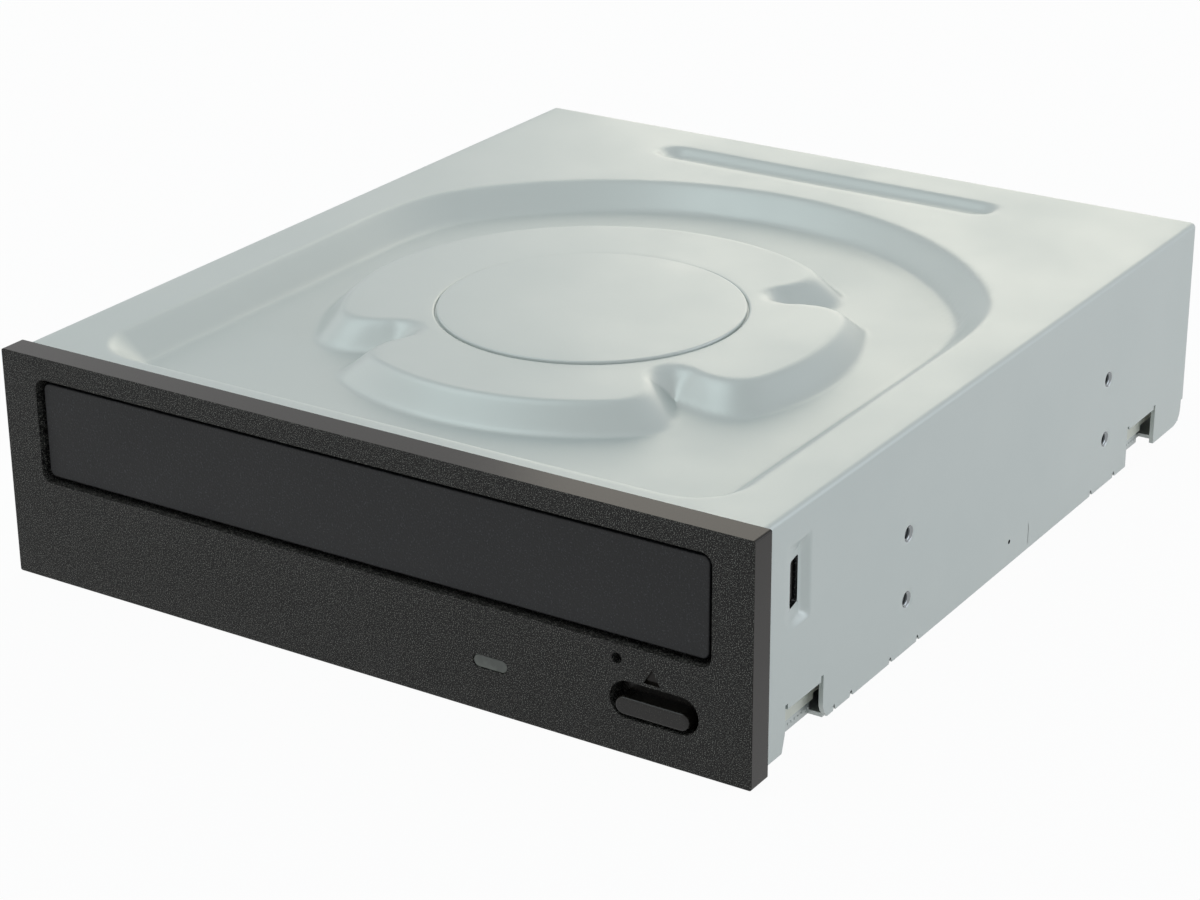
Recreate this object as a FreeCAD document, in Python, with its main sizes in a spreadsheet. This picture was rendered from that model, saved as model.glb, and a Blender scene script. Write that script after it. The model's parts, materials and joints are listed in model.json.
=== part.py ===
import FreeCAD, Part
import math
import os
import re
import Sketcher

# A half-height optical disc drive: a folded steel case, a moulded front with a tray door,
# and inside it the tray, its loading gears, the lifting traverse, the pickup and the boards.
# X is the width, Y runs from the front to the back, and Z is up. The origin is under the middle.

os.makedirs("parts", exist_ok=True)
doc = FreeCAD.newDocument("disc_drive")
sheet = doc.addObject("Spreadsheet::Sheet", "Sizes")

sizes = {
    # Front moulding
    "bezel_overhang": 1.075, "bezel_height": 41.8, "bezel_depth": 5.0, "bezel_face": 2.2, "bezel_rim": 1.6,
    "door_side_frame": 7.25, "door_opening_low": 18.7, "door_opening_height": 19.1, "door_frame": 1.3,
    "door_opening_corner": 2.0,
    "hook_arm_thick": 1.4, "hook_arm_length": 12.2, "hook_arm_height": 8.8, "hook_clearance": 0.35,
    # Case
    "body_width": 146.05, "body_depth": 165.0, "body_top": 41.4, "base_level": 0.45, "skirt_level": 1.0,
    "sheet_thick": 0.8, "bend_radius": 1.0, "rear_wall_low": 5.5, "seam_clearance": 0.1,
    # Mounting holes in the case, and where they stand
    "hole_radius": 1.25, "hole_setback": 47.4, "hole_pitch": 79.25, "hole_low": 10.0, "hole_rise": 11.84,
    "hole_collar": 1.3, "collar_wall": 0.9, "base_hole_inset": 3.175,
    # Pressings in the top
    "spindle_setback": 71.0, "recess_side_margin": 10.225, "recess_setback": 8.5, "recess_arc_margin": 4.225,
    "recess_arc_offset": 3.2, "recess_depth": 4.5, "recess_run": 5.5,
    "recess_channel": 18.6, "plateau_run": 4.3, "dent_length": 11.2, "dent_half_width": 6.4, "dent_floor": 1.0,
    "disc_step_gap": 5.5, "disc_step_rise": 0.35,
    "groove_length": 75.0, "groove_width": 7.75, "groove_setback": 155.9, "groove_depth": 1.6,
    # Side pressings and cut-outs, measured from the front
    "clip_setback": 14.55, "clip_width": 2.9, "clip_low": 24.9, "clip_height": 7.8,
    "pocket_depth": 0.6, "pocket_start": 11.8, "pocket_end": 18.6, "pocket_wall": 1.4, "pocket_margin": 3.0,
    "front_notch_start": 12.1, "front_notch_end": 24.3, "rear_notch_start": 142.3, "rear_notch_end": 155.4,
    "notch_top": 8.0, "plate_notch_depth": 4.2, "rear_corner_radius": 3.0, "tail_step": 1.6,
    "notch_lean": 0.9, "notch_lean_rise": 3.0, "notch_back_lean": 1.4, "notch_back_rise": 2.5,
    # Base plate
    "flange_top": 6.0, "panel_side_margin": 23.025, "panel_start": 42.0, "panel_end": 138.0, "panel_rise": 0.8,
    # Loader frame
    "frame_wall": 2.0, "frame_side_gap": 2.0, "frame_start": 16.0, "frame_end": 167.0, "frame_low": 4.2,
    "frame_top": 32.6, "deck_low": 13.0, "deck_thick": 2.0, "deck_end": 44.9, "window_share": 0.65225,
    "window_end": 161.5, "guide_reach": 3.0, "guide_thick": 1.7, "running_gap": 0.3,
    "boss_radius": 3.2, "boss_inset": 6.725, "boss_front": 32.0, "boss_rear": 150.0,
    # Tray and door
    "tray_side_gap": 3.725, "tray_low": 24.6, "tray_rim": 30.3, "tray_end": 163.0, "tray_flange": 2.0,
    "disc_side_margin": 4.0, "disc_floor": 27.3, "small_disc_radius": 40.6, "small_disc_floor": 26.1,
    "slot_side_gap": 3.5, "tray_wall": 2.0, "tray_wall_low": 21.0,
    "door_gap": 0.9, "door_thick": 3.0, "door_inset": 0.9, "door_corner": 1.4, "door_hook_width": 8.0,
    # Loading gears
    "rack_module": 1.0, "rack_low": 21.6, "rack_inset": 11.5, "rack_start": 13.0, "rack_back": 4.2,
    "gear_module": 0.6, "mesh_clearance": 0.1, "post_radius": 1.5, "post_clearance": 0.06,
    "tray_gear_teeth": 18, "tray_wheel_teeth": 50, "tray_gear_setback": 25.0,
    "idler_pinion_teeth": 12, "idler_wheel_teeth": 48, "idler_angle": 20.0,
    "pulley_pinion_teeth": 12, "pulley_angle": -25.0, "hub_radius": 3.2,
    "pulley_groove": 12.6, "motor_groove": 3.6, "groove_lip": 1.0, "pulley_thick": 1.8,
    "belt_section": 1.2, "belt_clearance": 0.12, "motor_reach": 25.0, "motor_setback": 28.0,
    "motor_radius": 12.0, "motor_low": 1.7, "shaft_radius": 0.75,
    # Cam slider
    "cam_start": -30.0, "cam_length": 46.0, "cam_travel": 14.0, "cam_wall": 2.0, "cam_low": 3.2,
    "cam_flange": 5.0, "cam_thick": 1.6, "cam_pin_radius": 1.2, "cam_slot_clearance": 0.25,
    # Lifting frame and traverse
    "lift_side_gap": 1.5, "lift_start": 49.3, "lift_end": 160.0, "lift_low": 12.2, "lift_thick": 2.6,
    "lift_rail": 12.0, "lift_inner_start": 59.0, "pickup_end_gap": 1.0, "lift_angle": 4.0,
    "pivot_setback": 156.0, "pivot_level": 13.6, "pivot_radius": 1.8, "pivot_length": 4.4,
    "traverse_inset": 1.0, "traverse_start": 52.0, "traverse_end": 159.0, "traverse_low": 16.6,
    "traverse_thick": 1.2, "grommet_radius": 4.0, "grommet_waist": 2.6, "grommet_inset": 3.5,
    "grommet_front": 55.8, "grommet_rear": 148.0, "grommet_height": 4.2,
    # Pickup
    "rod_radius": 1.5, "rod_spacing": 7.0, "rod_level": 21.2, "rod_start": 55.0, "rod_end": 151.0,
    "rod_clearance": 0.05, "pickup_start": 87.8, "pickup_length": 24.2, "pickup_inset": 4.0,
    "pickup_low": 18.6, "pickup_top": 25.4, "pickup_travel": 35.0, "lens_setback": 95.0, "lens_radius": 2.4,
    "lens_level": 28.4, "holder_half_width": 6.5, "holder_length": 10.0, "holder_gap": 0.5,
    "lead_inset": 11.0, "screw_level": 20.0, "lead_radius": 1.5, "lead_start": 78.0, "lead_end": 149.5,
    "sled_motor_radius": 4.0, "sled_motor_length": 17.0, "bracket_thick": 1.0,
    # Spindle and clamper
    "turntable_radius": 15.0, "turntable_top": 29.8, "turntable_low": 25.8, "cone_radius": 7.4, "cone_rise": 2.0,
    "pad_thick": 0.4, "pad_inner": 11.5, "rotor_radius": 13.5, "rotor_low": 19.3, "rotor_wall": 0.8,
    "spindle_radius": 1.5, "stator_half_width": 17.0, "stator_thick": 1.0, "coil_radius": 12.2,
    "coil_height": 4.6, "bearing_radius": 4.0, "bearing_low": 13.8, "magnet_radius": 5.8,
    "bridge_low": 32.6, "bridge_thick": 1.4, "bridge_half_depth": 22.0, "bridge_bore": 19.0,
    "clamper_radius": 15.5, "clamper_hub": 18.3, "clamper_flange": 20.5, "clamper_low": 30.1,
    "clamper_flange_low": 34.4, "clamper_flange_thick": 1.2, "clamp_plate_radius": 8.5, "clamp_plate_thick": 1.0,
    # Boards
    "board_low": 3.6, "board_thick": 1.6, "board_side_gap": 13.225, "board_start": 96.0, "board_end": 166.0,
    "board_post_inset": 4.0, "board_post_front": 100.0, "board_post_rear": 146.0, "board_post_radius": 2.6,
    "processor_size": 20.0, "processor_thick": 1.5, "driver_length": 14.0, "driver_width": 9.0,
    "driver_thick": 1.05, "memory_length": 10.0, "memory_width": 6.0,
    "capacitor_radius": 2.5, "capacitor_height": 5.4, "capacitor_pitch": 6.5, "capacitor_inset": 31.0,
    "socket_inset": 17.0, "socket_length": 14.0,
    "front_board_setback": 12.0, "front_board_thick": 1.2, "front_board_low": 3.0, "front_board_top": 14.5,
    "front_board_margin": 6.25, "front_board_past": 8.8,
    # Connector at the back
    "plug_inset": 23.0, "plug_width": 42.0, "plug_low": 1.9, "plug_height": 7.6, "plug_start": 158.5,
    "plug_end": 169.6, "plug_cavity_height": 4.2, "plug_cavity_depth": 7.0, "data_width": 11.6,
    "power_width": 22.0, "plug_rib": 3.0, "tongue_thick": 1.2, "tongue_margin": 0.8,
    # Controls
    "button_inset": 17.4, "button_level": 9.45, "button_opening": 16.0, "button_opening_height": 6.5,
    "button_width": 13.5, "button_height": 3.15, "button_step": 3.2, "button_travel": 0.8, "button_gap": 0.4,
    "lamp_spacing": 30.45, "led_level": 8.7, "led_width": 6.5, "led_height": 2.2, "led_clearance": 0.05,
    "pinhole_offset": 6.7, "pinhole_level": 16.2, "pinhole_radius": 0.9,
    "mark_offset": 0.35, "mark_level": 14.1, "mark_radius": 1.75, "mark_depth": 0.2,
    "switch_size": 6.0, "switch_depth": 3.5, "plunger_radius": 1.7,
    # Screws
    "screw_radius": 1.2, "screw_head": 2.3, "screw_head_thick": 1.0, "screw_length": 6.0,
}
for line, (word, value) in enumerate(sizes.items(), start=1):
    sheet.set(f"A{line}", word)
    sheet.set(f"B{line}", str(value))
    sheet.setAlias(f"B{line}", word)
doc.recompute()

# Places and fits worked out from the sizes above.
places = {
    "front": "(-(bezel_depth + body_depth) / 2)",
    "back": "((bezel_depth + body_depth) / 2)",
    "body_front": "(front + bezel_depth)",
    "side": "(body_width / 2)",
    "inner_side": "(body_width / 2 - sheet_thick)",
    "bezel_width": "(body_width + bezel_overhang * 2)",
    "door_opening_width": "(bezel_width - door_side_frame * 2)",
    "base_hole_span": "(body_width - base_hole_inset * 2)",
    "recess_half_width": "(side - recess_side_margin)",
    "recess_arc_radius": "(side - recess_arc_margin)",
    "plateau_radius": "(recess_half_width - recess_channel)",
    "dent_reach": "(plateau_radius - dent_length)",
    "disc_step_radius": "(dent_reach - disc_step_gap)",
    "panel_half_width": "(side - panel_side_margin)",
    "plate_top": "(base_level + sheet_thick)",
    "plate_side": "(inner_side - seam_clearance)",
    "spindle_y": "(front + spindle_setback)",
    "recess_floor": "(body_top - recess_depth)",
    "hole_front": "(body_front + hole_setback)",
    "hole_rear": "(body_front + hole_setback + hole_pitch)",
    "frame_side": "(inner_side - frame_side_gap)",
    "frame_inner": "(frame_side - frame_wall)",
    "window_half_width": "(frame_inner * window_share)",
    "boss_x": "(frame_inner - boss_inset)",
    "tray_half_width": "(frame_inner - tray_side_gap)",
    "disc_radius": "(tray_half_width - disc_side_margin)",
    "deck_top": "(deck_low + deck_thick)",
    "tray_flange_side": "(tray_half_width + tray_flange)",
    "door_half_width": "(door_opening_width / 2 - door_gap)",
    "door_low": "(door_opening_low + door_gap)",
    "door_top": "(door_opening_low + door_opening_height - door_gap)",
    "door_back": "(front + door_inset + door_thick)",
    "rack_pitch_x": "(-(tray_half_width - rack_inset))",
    "tray_gear_radius": "(rack_module * tray_gear_teeth / 2)",
    "tray_gear_x": "(rack_pitch_x + tray_gear_radius)",
    "tray_gear_y": "(front + tray_gear_setback)",
    "idler_reach": "(gear_module * (tray_wheel_teeth + idler_pinion_teeth) / 2 + mesh_clearance)",
    "idler_x": "(tray_gear_x + idler_reach * cos(idler_angle))",
    "idler_y": "(tray_gear_y + idler_reach * sin(idler_angle))",
    "pulley_reach": "(gear_module * (idler_wheel_teeth + pulley_pinion_teeth) / 2 + mesh_clearance)",
    "pulley_x": "(idler_x + pulley_reach * cos(pulley_angle))",
    "pulley_y": "(idler_y + pulley_reach * sin(pulley_angle))",
    "motor_x": "(pulley_x + motor_reach)",
    "motor_y": "(front + motor_setback)",
    "pulley_low": "(deck_top + running_gap)",
    "pulley_top": "(pulley_low + pulley_thick)",
    "cam_front": "(front + deck_end + running_gap * 2)",
    "cam_base": "(deck_top + running_gap)",
    "lift_half_width": "(window_half_width - lift_side_gap)",
    "lift_inner_half": "(lift_half_width - lift_rail)",
    "lift_inner_end": "(pickup_start + pickup_length + pickup_travel + pickup_end_gap)",
    "traverse_half_width": "(lift_half_width - traverse_inset)",
    "grommet_x": "(traverse_half_width - grommet_inset)",
    "screw_x": "(traverse_half_width - lead_inset)",
    "rod_x": "(screw_x - rod_spacing)",
    "pickup_half_width": "(rod_x - pickup_inset)",
    "slot_half_width": "(pickup_half_width + slot_side_gap)",
    "pivot_y": "(front + pivot_setback)",
    "cam_pin_y": "(cam_front + cam_wall / 2)",
    "cam_pin_level": "(lift_low + cam_pin_radius)",
    "cam_drop": "((pivot_y - cam_pin_y) * sin(lift_angle))",
    "lift_top": "(lift_low + lift_thick)",
    "traverse_top": "(traverse_low + traverse_thick)",
    "lens_y": "(front + lens_setback)",
    "stator_top": "(traverse_top + stator_thick)",
    "board_half_width": "(frame_side - board_side_gap)",
    "board_post_x": "(board_half_width - board_post_inset)",
    "plug_x": "(board_half_width - plug_inset)",
    "board_top": "(board_low + board_thick)",
    "panel_top": "(plate_top + panel_rise)",
    "bridge_top": "(bridge_low + bridge_thick)",
    "button_x": "(bezel_width / 2 - button_inset)",
    "led_x": "(button_x - lamp_spacing)",
    "pinhole_x": "(button_x - pinhole_offset)",
    "mark_x": "(button_x - mark_offset)",
    "front_board_start": "(led_x - front_board_margin)",
    "front_board_end": "(button_x + front_board_past)",
    "front_board_y": "(front + front_board_setback)",
    "switch_front": "(front_board_y - switch_depth)",
    "clip_middle": "(clip_low + clip_height / 2)",
}
word_form = re.compile(r"[a-z_]+[a-z0-9_]*")


def formula(text):
    # Places are written out in full and each size is read from the sheet.
    text = str(text)
    while any(word in places for word in word_form.findall(text)):
        text = word_form.sub(lambda found: places.get(found.group(), found.group()), text)
    return word_form.sub(lambda found: "Sizes." + found.group() if found.group() in sizes else found.group(), text)


def number(text):
    return float(sheet.evalExpression(formula(text)))


def tie(thing, field, text):
    thing.setExpression(field, formula(text))


def put(thing, x, y, z):
    tie(thing, "Placement.Base.x", x)
    tie(thing, "Placement.Base.y", y)
    tie(thing, "Placement.Base.z", z)
    return thing


def block(x_low, x_high, y_low, y_high, z_low, z_high):
    box = doc.addObject("Part::Box", "block")
    tie(box, "Length", f"({x_high}) - ({x_low})")
    tie(box, "Width", f"({y_high}) - ({y_low})")
    tie(box, "Height", f"({z_high}) - ({z_low})")
    return put(box, x_low, y_low, z_low)


turn_to = {
    "x": FreeCAD.Rotation(FreeCAD.Vector(0, 1, 0), 90),
    "y": FreeCAD.Rotation(FreeCAD.Vector(1, 0, 0), -90),
    "z": FreeCAD.Rotation(),
}


def rod(radius, length, x, y, z, along="z"):
    round_bar = doc.addObject("Part::Cylinder", "rod")
    tie(round_bar, "Radius", radius)
    tie(round_bar, "Height", length)
    round_bar.Placement = FreeCAD.Placement(FreeCAD.Vector(), turn_to[along])
    return put(round_bar, x, y, z)


def taper(low_radius, high_radius, height, x, y, z, along="z"):
    cone = doc.addObject("Part::Cone", "taper")
    tie(cone, "Radius1", low_radius)
    tie(cone, "Radius2", high_radius)
    tie(cone, "Height", height)
    cone.Placement = FreeCAD.Placement(FreeCAD.Vector(), turn_to[along])
    return put(cone, x, y, z)


def join(*pieces):
    if len(pieces) == 1:
        return pieces[0]
    whole = doc.addObject("Part::MultiFuse", "join")
    whole.Shapes = list(pieces)
    whole.Refine = True
    return whole


def less(base, *tools):
    rest = doc.addObject("Part::Cut", "less")
    rest.Base = base
    rest.Tool = join(*tools)
    rest.Refine = True
    return rest


def both(first, second):
    shared = doc.addObject("Part::MultiCommon", "both")
    shared.Shapes = [first, second]
    return shared


def group(*pieces):
    together = doc.addObject("Part::Compound", "group")
    together.Links = list(pieces)
    return together


def pill(width, height, depth, x, y, z):
    # A slot shape with round ends, centred on x and z, that runs back from y.
    end = f"(({width}) - ({height})) / 2"
    middle = block(f"{x} - {end}", f"{x} + {end}", y, f"{y} + {depth}", f"{z} - ({height}) / 2", f"{z} + ({height}) / 2")
    ends = [rod(f"({height}) / 2", depth, f"{x} {sign} {end}", y, z, "y") for sign in "+-"]
    return join(middle, *ends)


def rounded(base, radius, along, picked=lambda spot: True):
    # Rounds the straight edges that run along the given axes and stand at a picked spot.
    doc.recompute()
    softened = doc.addObject("Part::Fillet", "rounded")
    softened.Base = base
    edges = []
    for index, edge in enumerate(base.Shape.Edges, start=1):
        step = edge.Vertexes[-1].Point - edge.Vertexes[0].Point
        straight = isinstance(edge.Curve, Part.Line) and max(abs(step["xyz".index(axis)]) for axis in along) > 0.99 * step.Length
        if straight and picked(edge.CenterOfMass):
            edges.append((index, number(radius), number(radius)))
    softened.Edges = edges
    return softened


def new_body(name):
    return doc.addObject("PartDesign::Body", name)


def sketch_on(body, role, level="0"):
    plane = next(item for item in body.Origin.OriginFeatures if item.Role == role)
    sketch = body.newObject("Sketcher::SketchObject", "outline")
    sketch.AttachmentSupport = (plane, [""])
    sketch.MapMode = "FlatFace"
    tie(sketch, ".AttachmentOffset.Base.z", level)
    return sketch


def outline(sketch, corners):
    # A closed outline whose corners are each tied to the sizes.
    spots = [FreeCAD.Vector(number(x), number(y), 0) for x, y in corners]
    for index, spot in enumerate(spots):
        sketch.addGeometry(Part.LineSegment(spot, spots[(index + 1) % len(spots)]), False)
    for index in range(len(spots)):
        sketch.addConstraint(Sketcher.Constraint("Coincident", index, 2, (index + 1) % len(spots), 1))
    for index, corner in enumerate(corners):
        for kind, text in zip(("DistanceX", "DistanceY"), corner):
            held = sketch.addConstraint(Sketcher.Constraint(kind, -1, 1, index, 1, number(text)))
            sketch.setExpression(f"Constraints[{held}]", formula(text))


def ring_outline(sketch, radius):
    circle = sketch.addGeometry(Part.Circle(FreeCAD.Vector(), FreeCAD.Vector(0, 0, 1), number(radius)), False)
    sketch.addConstraint(Sketcher.Constraint("Coincident", circle, 3, -1, 1))
    held = sketch.addConstraint(Sketcher.Constraint("Radius", circle, number(radius)))
    sketch.setExpression(f"Constraints[{held}]", formula(radius))


def raised(body, sketch, height):
    pad = body.newObject("PartDesign::Pad", "raised")
    pad.Profile = sketch
    tie(pad, "Length", height)
    sketch.Visibility = False
    return pad


def turned(name, corners, x, y, z="0"):
    # A body turned about its own upright axis from pairs of radius and level.
    body = new_body(name)
    sketch = sketch_on(body, "XZ_Plane")
    outline(sketch, corners)
    turn = body.newObject("PartDesign::Revolution", "turn")
    turn.Profile = sketch
    turn.ReferenceAxis = (sketch, ["V_Axis"])
    turn.Angle = 360
    return put(body, x, y, z)


# Share of the tooth pitch that a tooth fills at its root, pitch line and tip, and its height in modules.
tooth_share = {"root": 0.64, "pitch": 0.43, "tip": 0.24}
tooth_rise = {"root": -1.2, "pitch": 0.0, "tip": 0.85}


def toothed(name, module, teeth, low, height, turn_degrees):
    # A spur gear whose first tooth points along +X before it is turned.
    body = new_body(name)
    disc = sketch_on(body, "XY_Plane", low)
    root = f"{module} * ({teeth} / 2 + {tooth_rise['root']})"
    ring_outline(disc, root)
    raised(body, disc, height)
    tooth = sketch_on(body, "XY_Plane", low)
    corners = []
    for part, side in (("root", -1), ("pitch", -1), ("tip", -1), ("tip", 1), ("pitch", 1), ("root", 1)):
        reach = f"{module} * ({teeth} / 2 + {tooth_rise[part]})"
        half = f"{side} * {tooth_share[part]} * pi * {module} / 2"
        corners.append((reach, half))
    corners[0] = (f"{root} * 0.9", corners[0][1])
    corners[-1] = (f"{root} * 0.9", corners[-1][1])
    outline(tooth, corners)
    first = raised(body, tooth, height)
    ring = body.newObject("PartDesign::PolarPattern", "teeth")
    ring.Originals = [first]
    ring.Axis = (tooth, ["N_Axis"])
    ring.Angle = 360
    tie(ring, "Occurrences", teeth)
    body.Tip = ring
    body.Placement = FreeCAD.Placement(FreeCAD.Vector(), FreeCAD.Rotation(FreeCAD.Vector(0, 0, 1), 0))
    tie(body, "Placement.Rotation.Angle", turn_degrees)
    return body


def screw(x, y, z, heading, length="screw_length"):
    # A pan head with its shank; heading is +1 for a head above, -1 for a head below.
    low = f"{z}" if heading > 0 else f"{z} - screw_head_thick"
    shank_low = f"{z} - ({length})" if heading > 0 else f"{z}"
    return join(rod("screw_head", "screw_head_thick", x, y, low), rod("screw_radius", length, x, y, shank_low))


nodes = []


def node(thing, label):
    thing.Label = label
    nodes.append(thing)
    return thing


# Top cover: one folded sheet with the round pressing over the disc.
def sunk_field(growth):
    # The recess as a tapered tub; growth moves every face out by that much.
    slope = "recess_run / recess_depth"
    spread = f"({growth}) * sqrt(1 + ({slope}) ^ 2)"
    deep = f"(recess_depth + ({growth}))"
    lip = "2"
    half = f"(recess_half_width + {spread} + {lip} * {slope})"
    half_low = f"(recess_half_width + {spread} - {deep} * {slope})"
    near = f"(front + recess_setback - {spread} - {lip} * {slope})"
    near_low = f"(front + recess_setback - {spread} + {deep} * {slope})"
    tub = doc.addObject("Part::Wedge", "tub")
    fields = {
        "Xmin": f"-{half_low}", "Xmax": half_low, "X2min": f"-{half}", "X2max": half,
        "Ymin": "0", "Ymax": f"{deep} + {lip}",
        "Zmin": f"-back", "Zmax": f"-{near_low}", "Z2min": f"-back", "Z2max": f"-{near}",
    }
    for field, text in fields.items():
        tie(tub, field, text)
    tub.Placement = FreeCAD.Placement(FreeCAD.Vector(), FreeCAD.Rotation(FreeCAD.Vector(1, 0, 0), 90))
    put(tub, "0", "0", f"body_top - {deep}")
    arc_y = "(spindle_y + recess_arc_offset)"
    arc_low = f"recess_arc_radius + {spread} - {deep} * {slope}"
    arc_high = f"recess_arc_radius + {spread} + {lip} * {slope}"
    arc = taper(arc_low, arc_high, f"{deep} + {lip}", "0", arc_y, f"body_top - {deep}")
    ahead = block("-side", "side", "front", f"{arc_y} + recess_arc_radius / 3", f"body_top - {deep}", f"body_top + {lip}")
    return both(tub, join(arc, ahead))


def plateau(shrink):
    # The round table in the middle of the recess, with its dents left out.
    slope = "plateau_run / recess_depth"
    spread = f"({shrink}) * sqrt(1 + ({slope}) ^ 2)"
    top = f"plateau_radius - {spread} + ({shrink}) * {slope}"
    foot_drop = "(recess_depth + 2)"
    foot = f"plateau_radius - {spread} + {foot_drop} * {slope}"
    table = taper(foot, top, f"{foot_drop} - ({shrink})", "0", "spindle_y", f"body_top - {foot_drop}")
    return less(table, *[dent(angle, shrink) for angle in (43, 229, 324)])


def dent(angle, growth):
    # A trough with sloping sides that runs out of the plateau at the given angle.
    slope = "(dent_half_width - dent_floor) / recess_depth"
    spread = f"({growth}) * sqrt(1 + ({slope}) ^ 2)"
    deep = f"(recess_depth + ({growth}))"
    high = f"dent_half_width + {spread} + {slope}"
    low = f"dent_half_width + {spread} - {deep} * {slope}"
    reach = "(dent_reach + dent_half_width)"
    tip = taper(low, high, f"{deep} + 1", reach, "0", f"body_top - {deep}")
    run = doc.addObject("Part::Wedge", "run")
    fields = {
        "Xmin": f"-({low})", "Xmax": low, "X2min": f"-({high})", "X2max": high, "Ymin": "0", "Ymax": f"{deep} + 1",
        "Zmin": "0", "Zmax": "plateau_radius", "Z2min": "0", "Z2max": "plateau_radius",
    }
    for field, text in fields.items():
        tie(run, field, text)
    run.Placement = FreeCAD.Placement(FreeCAD.Vector(), FreeCAD.Rotation(90, 0, 90))
    put(run, reach, "0", f"body_top - {deep}")
    trough = group(tip, run)
    trough.Placement = FreeCAD.Placement(FreeCAD.Vector(), FreeCAD.Rotation(FreeCAD.Vector(0, 0, 1), angle))
    return put(trough, "0", "spindle_y", "0")


def groove(depth, growth):
    end = "(groove_length - groove_width) / 2"
    radius = f"(groove_width / 2 + ({growth}))"
    y = "(front + groove_setback)"
    bar = block(f"-({end})", end, f"{y} - {radius}", f"{y} + {radius}", f"body_top - ({depth})", "body_top + 1")
    ends = [rod(radius, f"{depth} + 1", f"{sign}({end})", y, f"body_top - ({depth})") for sign in ("", "-")]
    return join(bar, *ends)


def top_cover():
    folded = block("-side", "side", "body_front", "back", "skirt_level", "body_top")
    middle = number("body_top / 2")
    shell = rounded(folded, "bend_radius", "xyz", lambda spot: spot.y > number("body_front + 1") and (
        spot.z > middle + 1 or spot.y > number("back - 1") and spot.z > middle - 2))
    hollow = block("-inner_side", "inner_side", "body_front - 1", "back - sheet_thick", "0", "body_top - sheet_thick")
    walls = less(shell, hollow)
    room = block("-inner_side", "inner_side", "body_front", "back - sheet_thick", "recess_floor - 3", "body_top")
    pan = both(less(sunk_field("sheet_thick"), plateau("sheet_thick")), room)
    groove_pan = groove("groove_depth + sheet_thick", "sheet_thick")
    groove_pan = both(groove_pan, block("-side", "side", "front", "back", "0", "body_top - sheet_thick / 2"))
    step = rod("disc_step_radius", "sheet_thick + disc_step_rise - sheet_thick / 2", "0", "spindle_y",
               "body_top - sheet_thick / 2")
    added = [pan, groove_pan, step]
    cuts = [less(sunk_field("0"), plateau("0")), groove("groove_depth", "0")]
    for mirror in ("", "-"):
        added += side_additions(mirror)
        cuts += side_cuts(mirror)
    plug_gap = "(plug_width / 2 + 1)"
    cuts.append(block("-side", "side", "back - sheet_thick - 0.01", "back + 1", "0", "rear_wall_low"))
    cuts.append(block(f"plug_x - {plug_gap}", f"plug_x + {plug_gap}", "back - 3", "back + 1", "0",
                      "plug_low + plug_height + 0.6"))
    return node(less(join(walls, *added), *cuts), "top_cover")


def across(mirror, near, far):
    # A span along X that lies on the right side, or mirrored on the left one.
    return (near, far) if mirror == "" else (f"-({far})", f"-({near})")


def side_holes():
    return [(y, f"base_level + hole_low + {rise}") for y in ("hole_front", "hole_rear") for rise in ("0", "hole_rise")]


def ramp(y_low, y_high, x_spans, z_spans):
    # A block whose spans along X and Z change from its front end to its back end.
    wedge = doc.addObject("Part::Wedge", "ramp")
    fields = {"Ymin": y_low, "Ymax": y_high}
    for axis, spans in (("X", x_spans), ("Z", z_spans)):
        for end, span in zip(("", "2"), spans):
            fields[f"{axis}{end}min"], fields[f"{axis}{end}max"] = span
    for field, text in fields.items():
        tie(wedge, field, text)
    return wedge


def side_additions(mirror):
    # The clip pocket slopes in from the front to its deepest line, then turns out steeply.
    shut = across(mirror, "inner_side - 0.01", "inner_side + 0.1")
    deep = across(mirror, "inner_side - pocket_depth", "inner_side + 0.1")
    levels = ("clip_low - pocket_margin", "clip_low + clip_height + pocket_margin")
    turn = "front + pocket_end - pocket_wall"
    pressed = join(ramp("front + pocket_start", turn, (shut, deep), (levels, levels)),
                   ramp(turn, "front + pocket_end", (deep, shut), (levels, levels)))
    low, high = across(mirror, "inner_side - hole_collar", "inner_side")
    collars = [rod("hole_radius + collar_wall", f"({high}) - ({low})", low, y, z, "x") for y, z in side_holes()]
    return [pressed, *collars]


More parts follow.
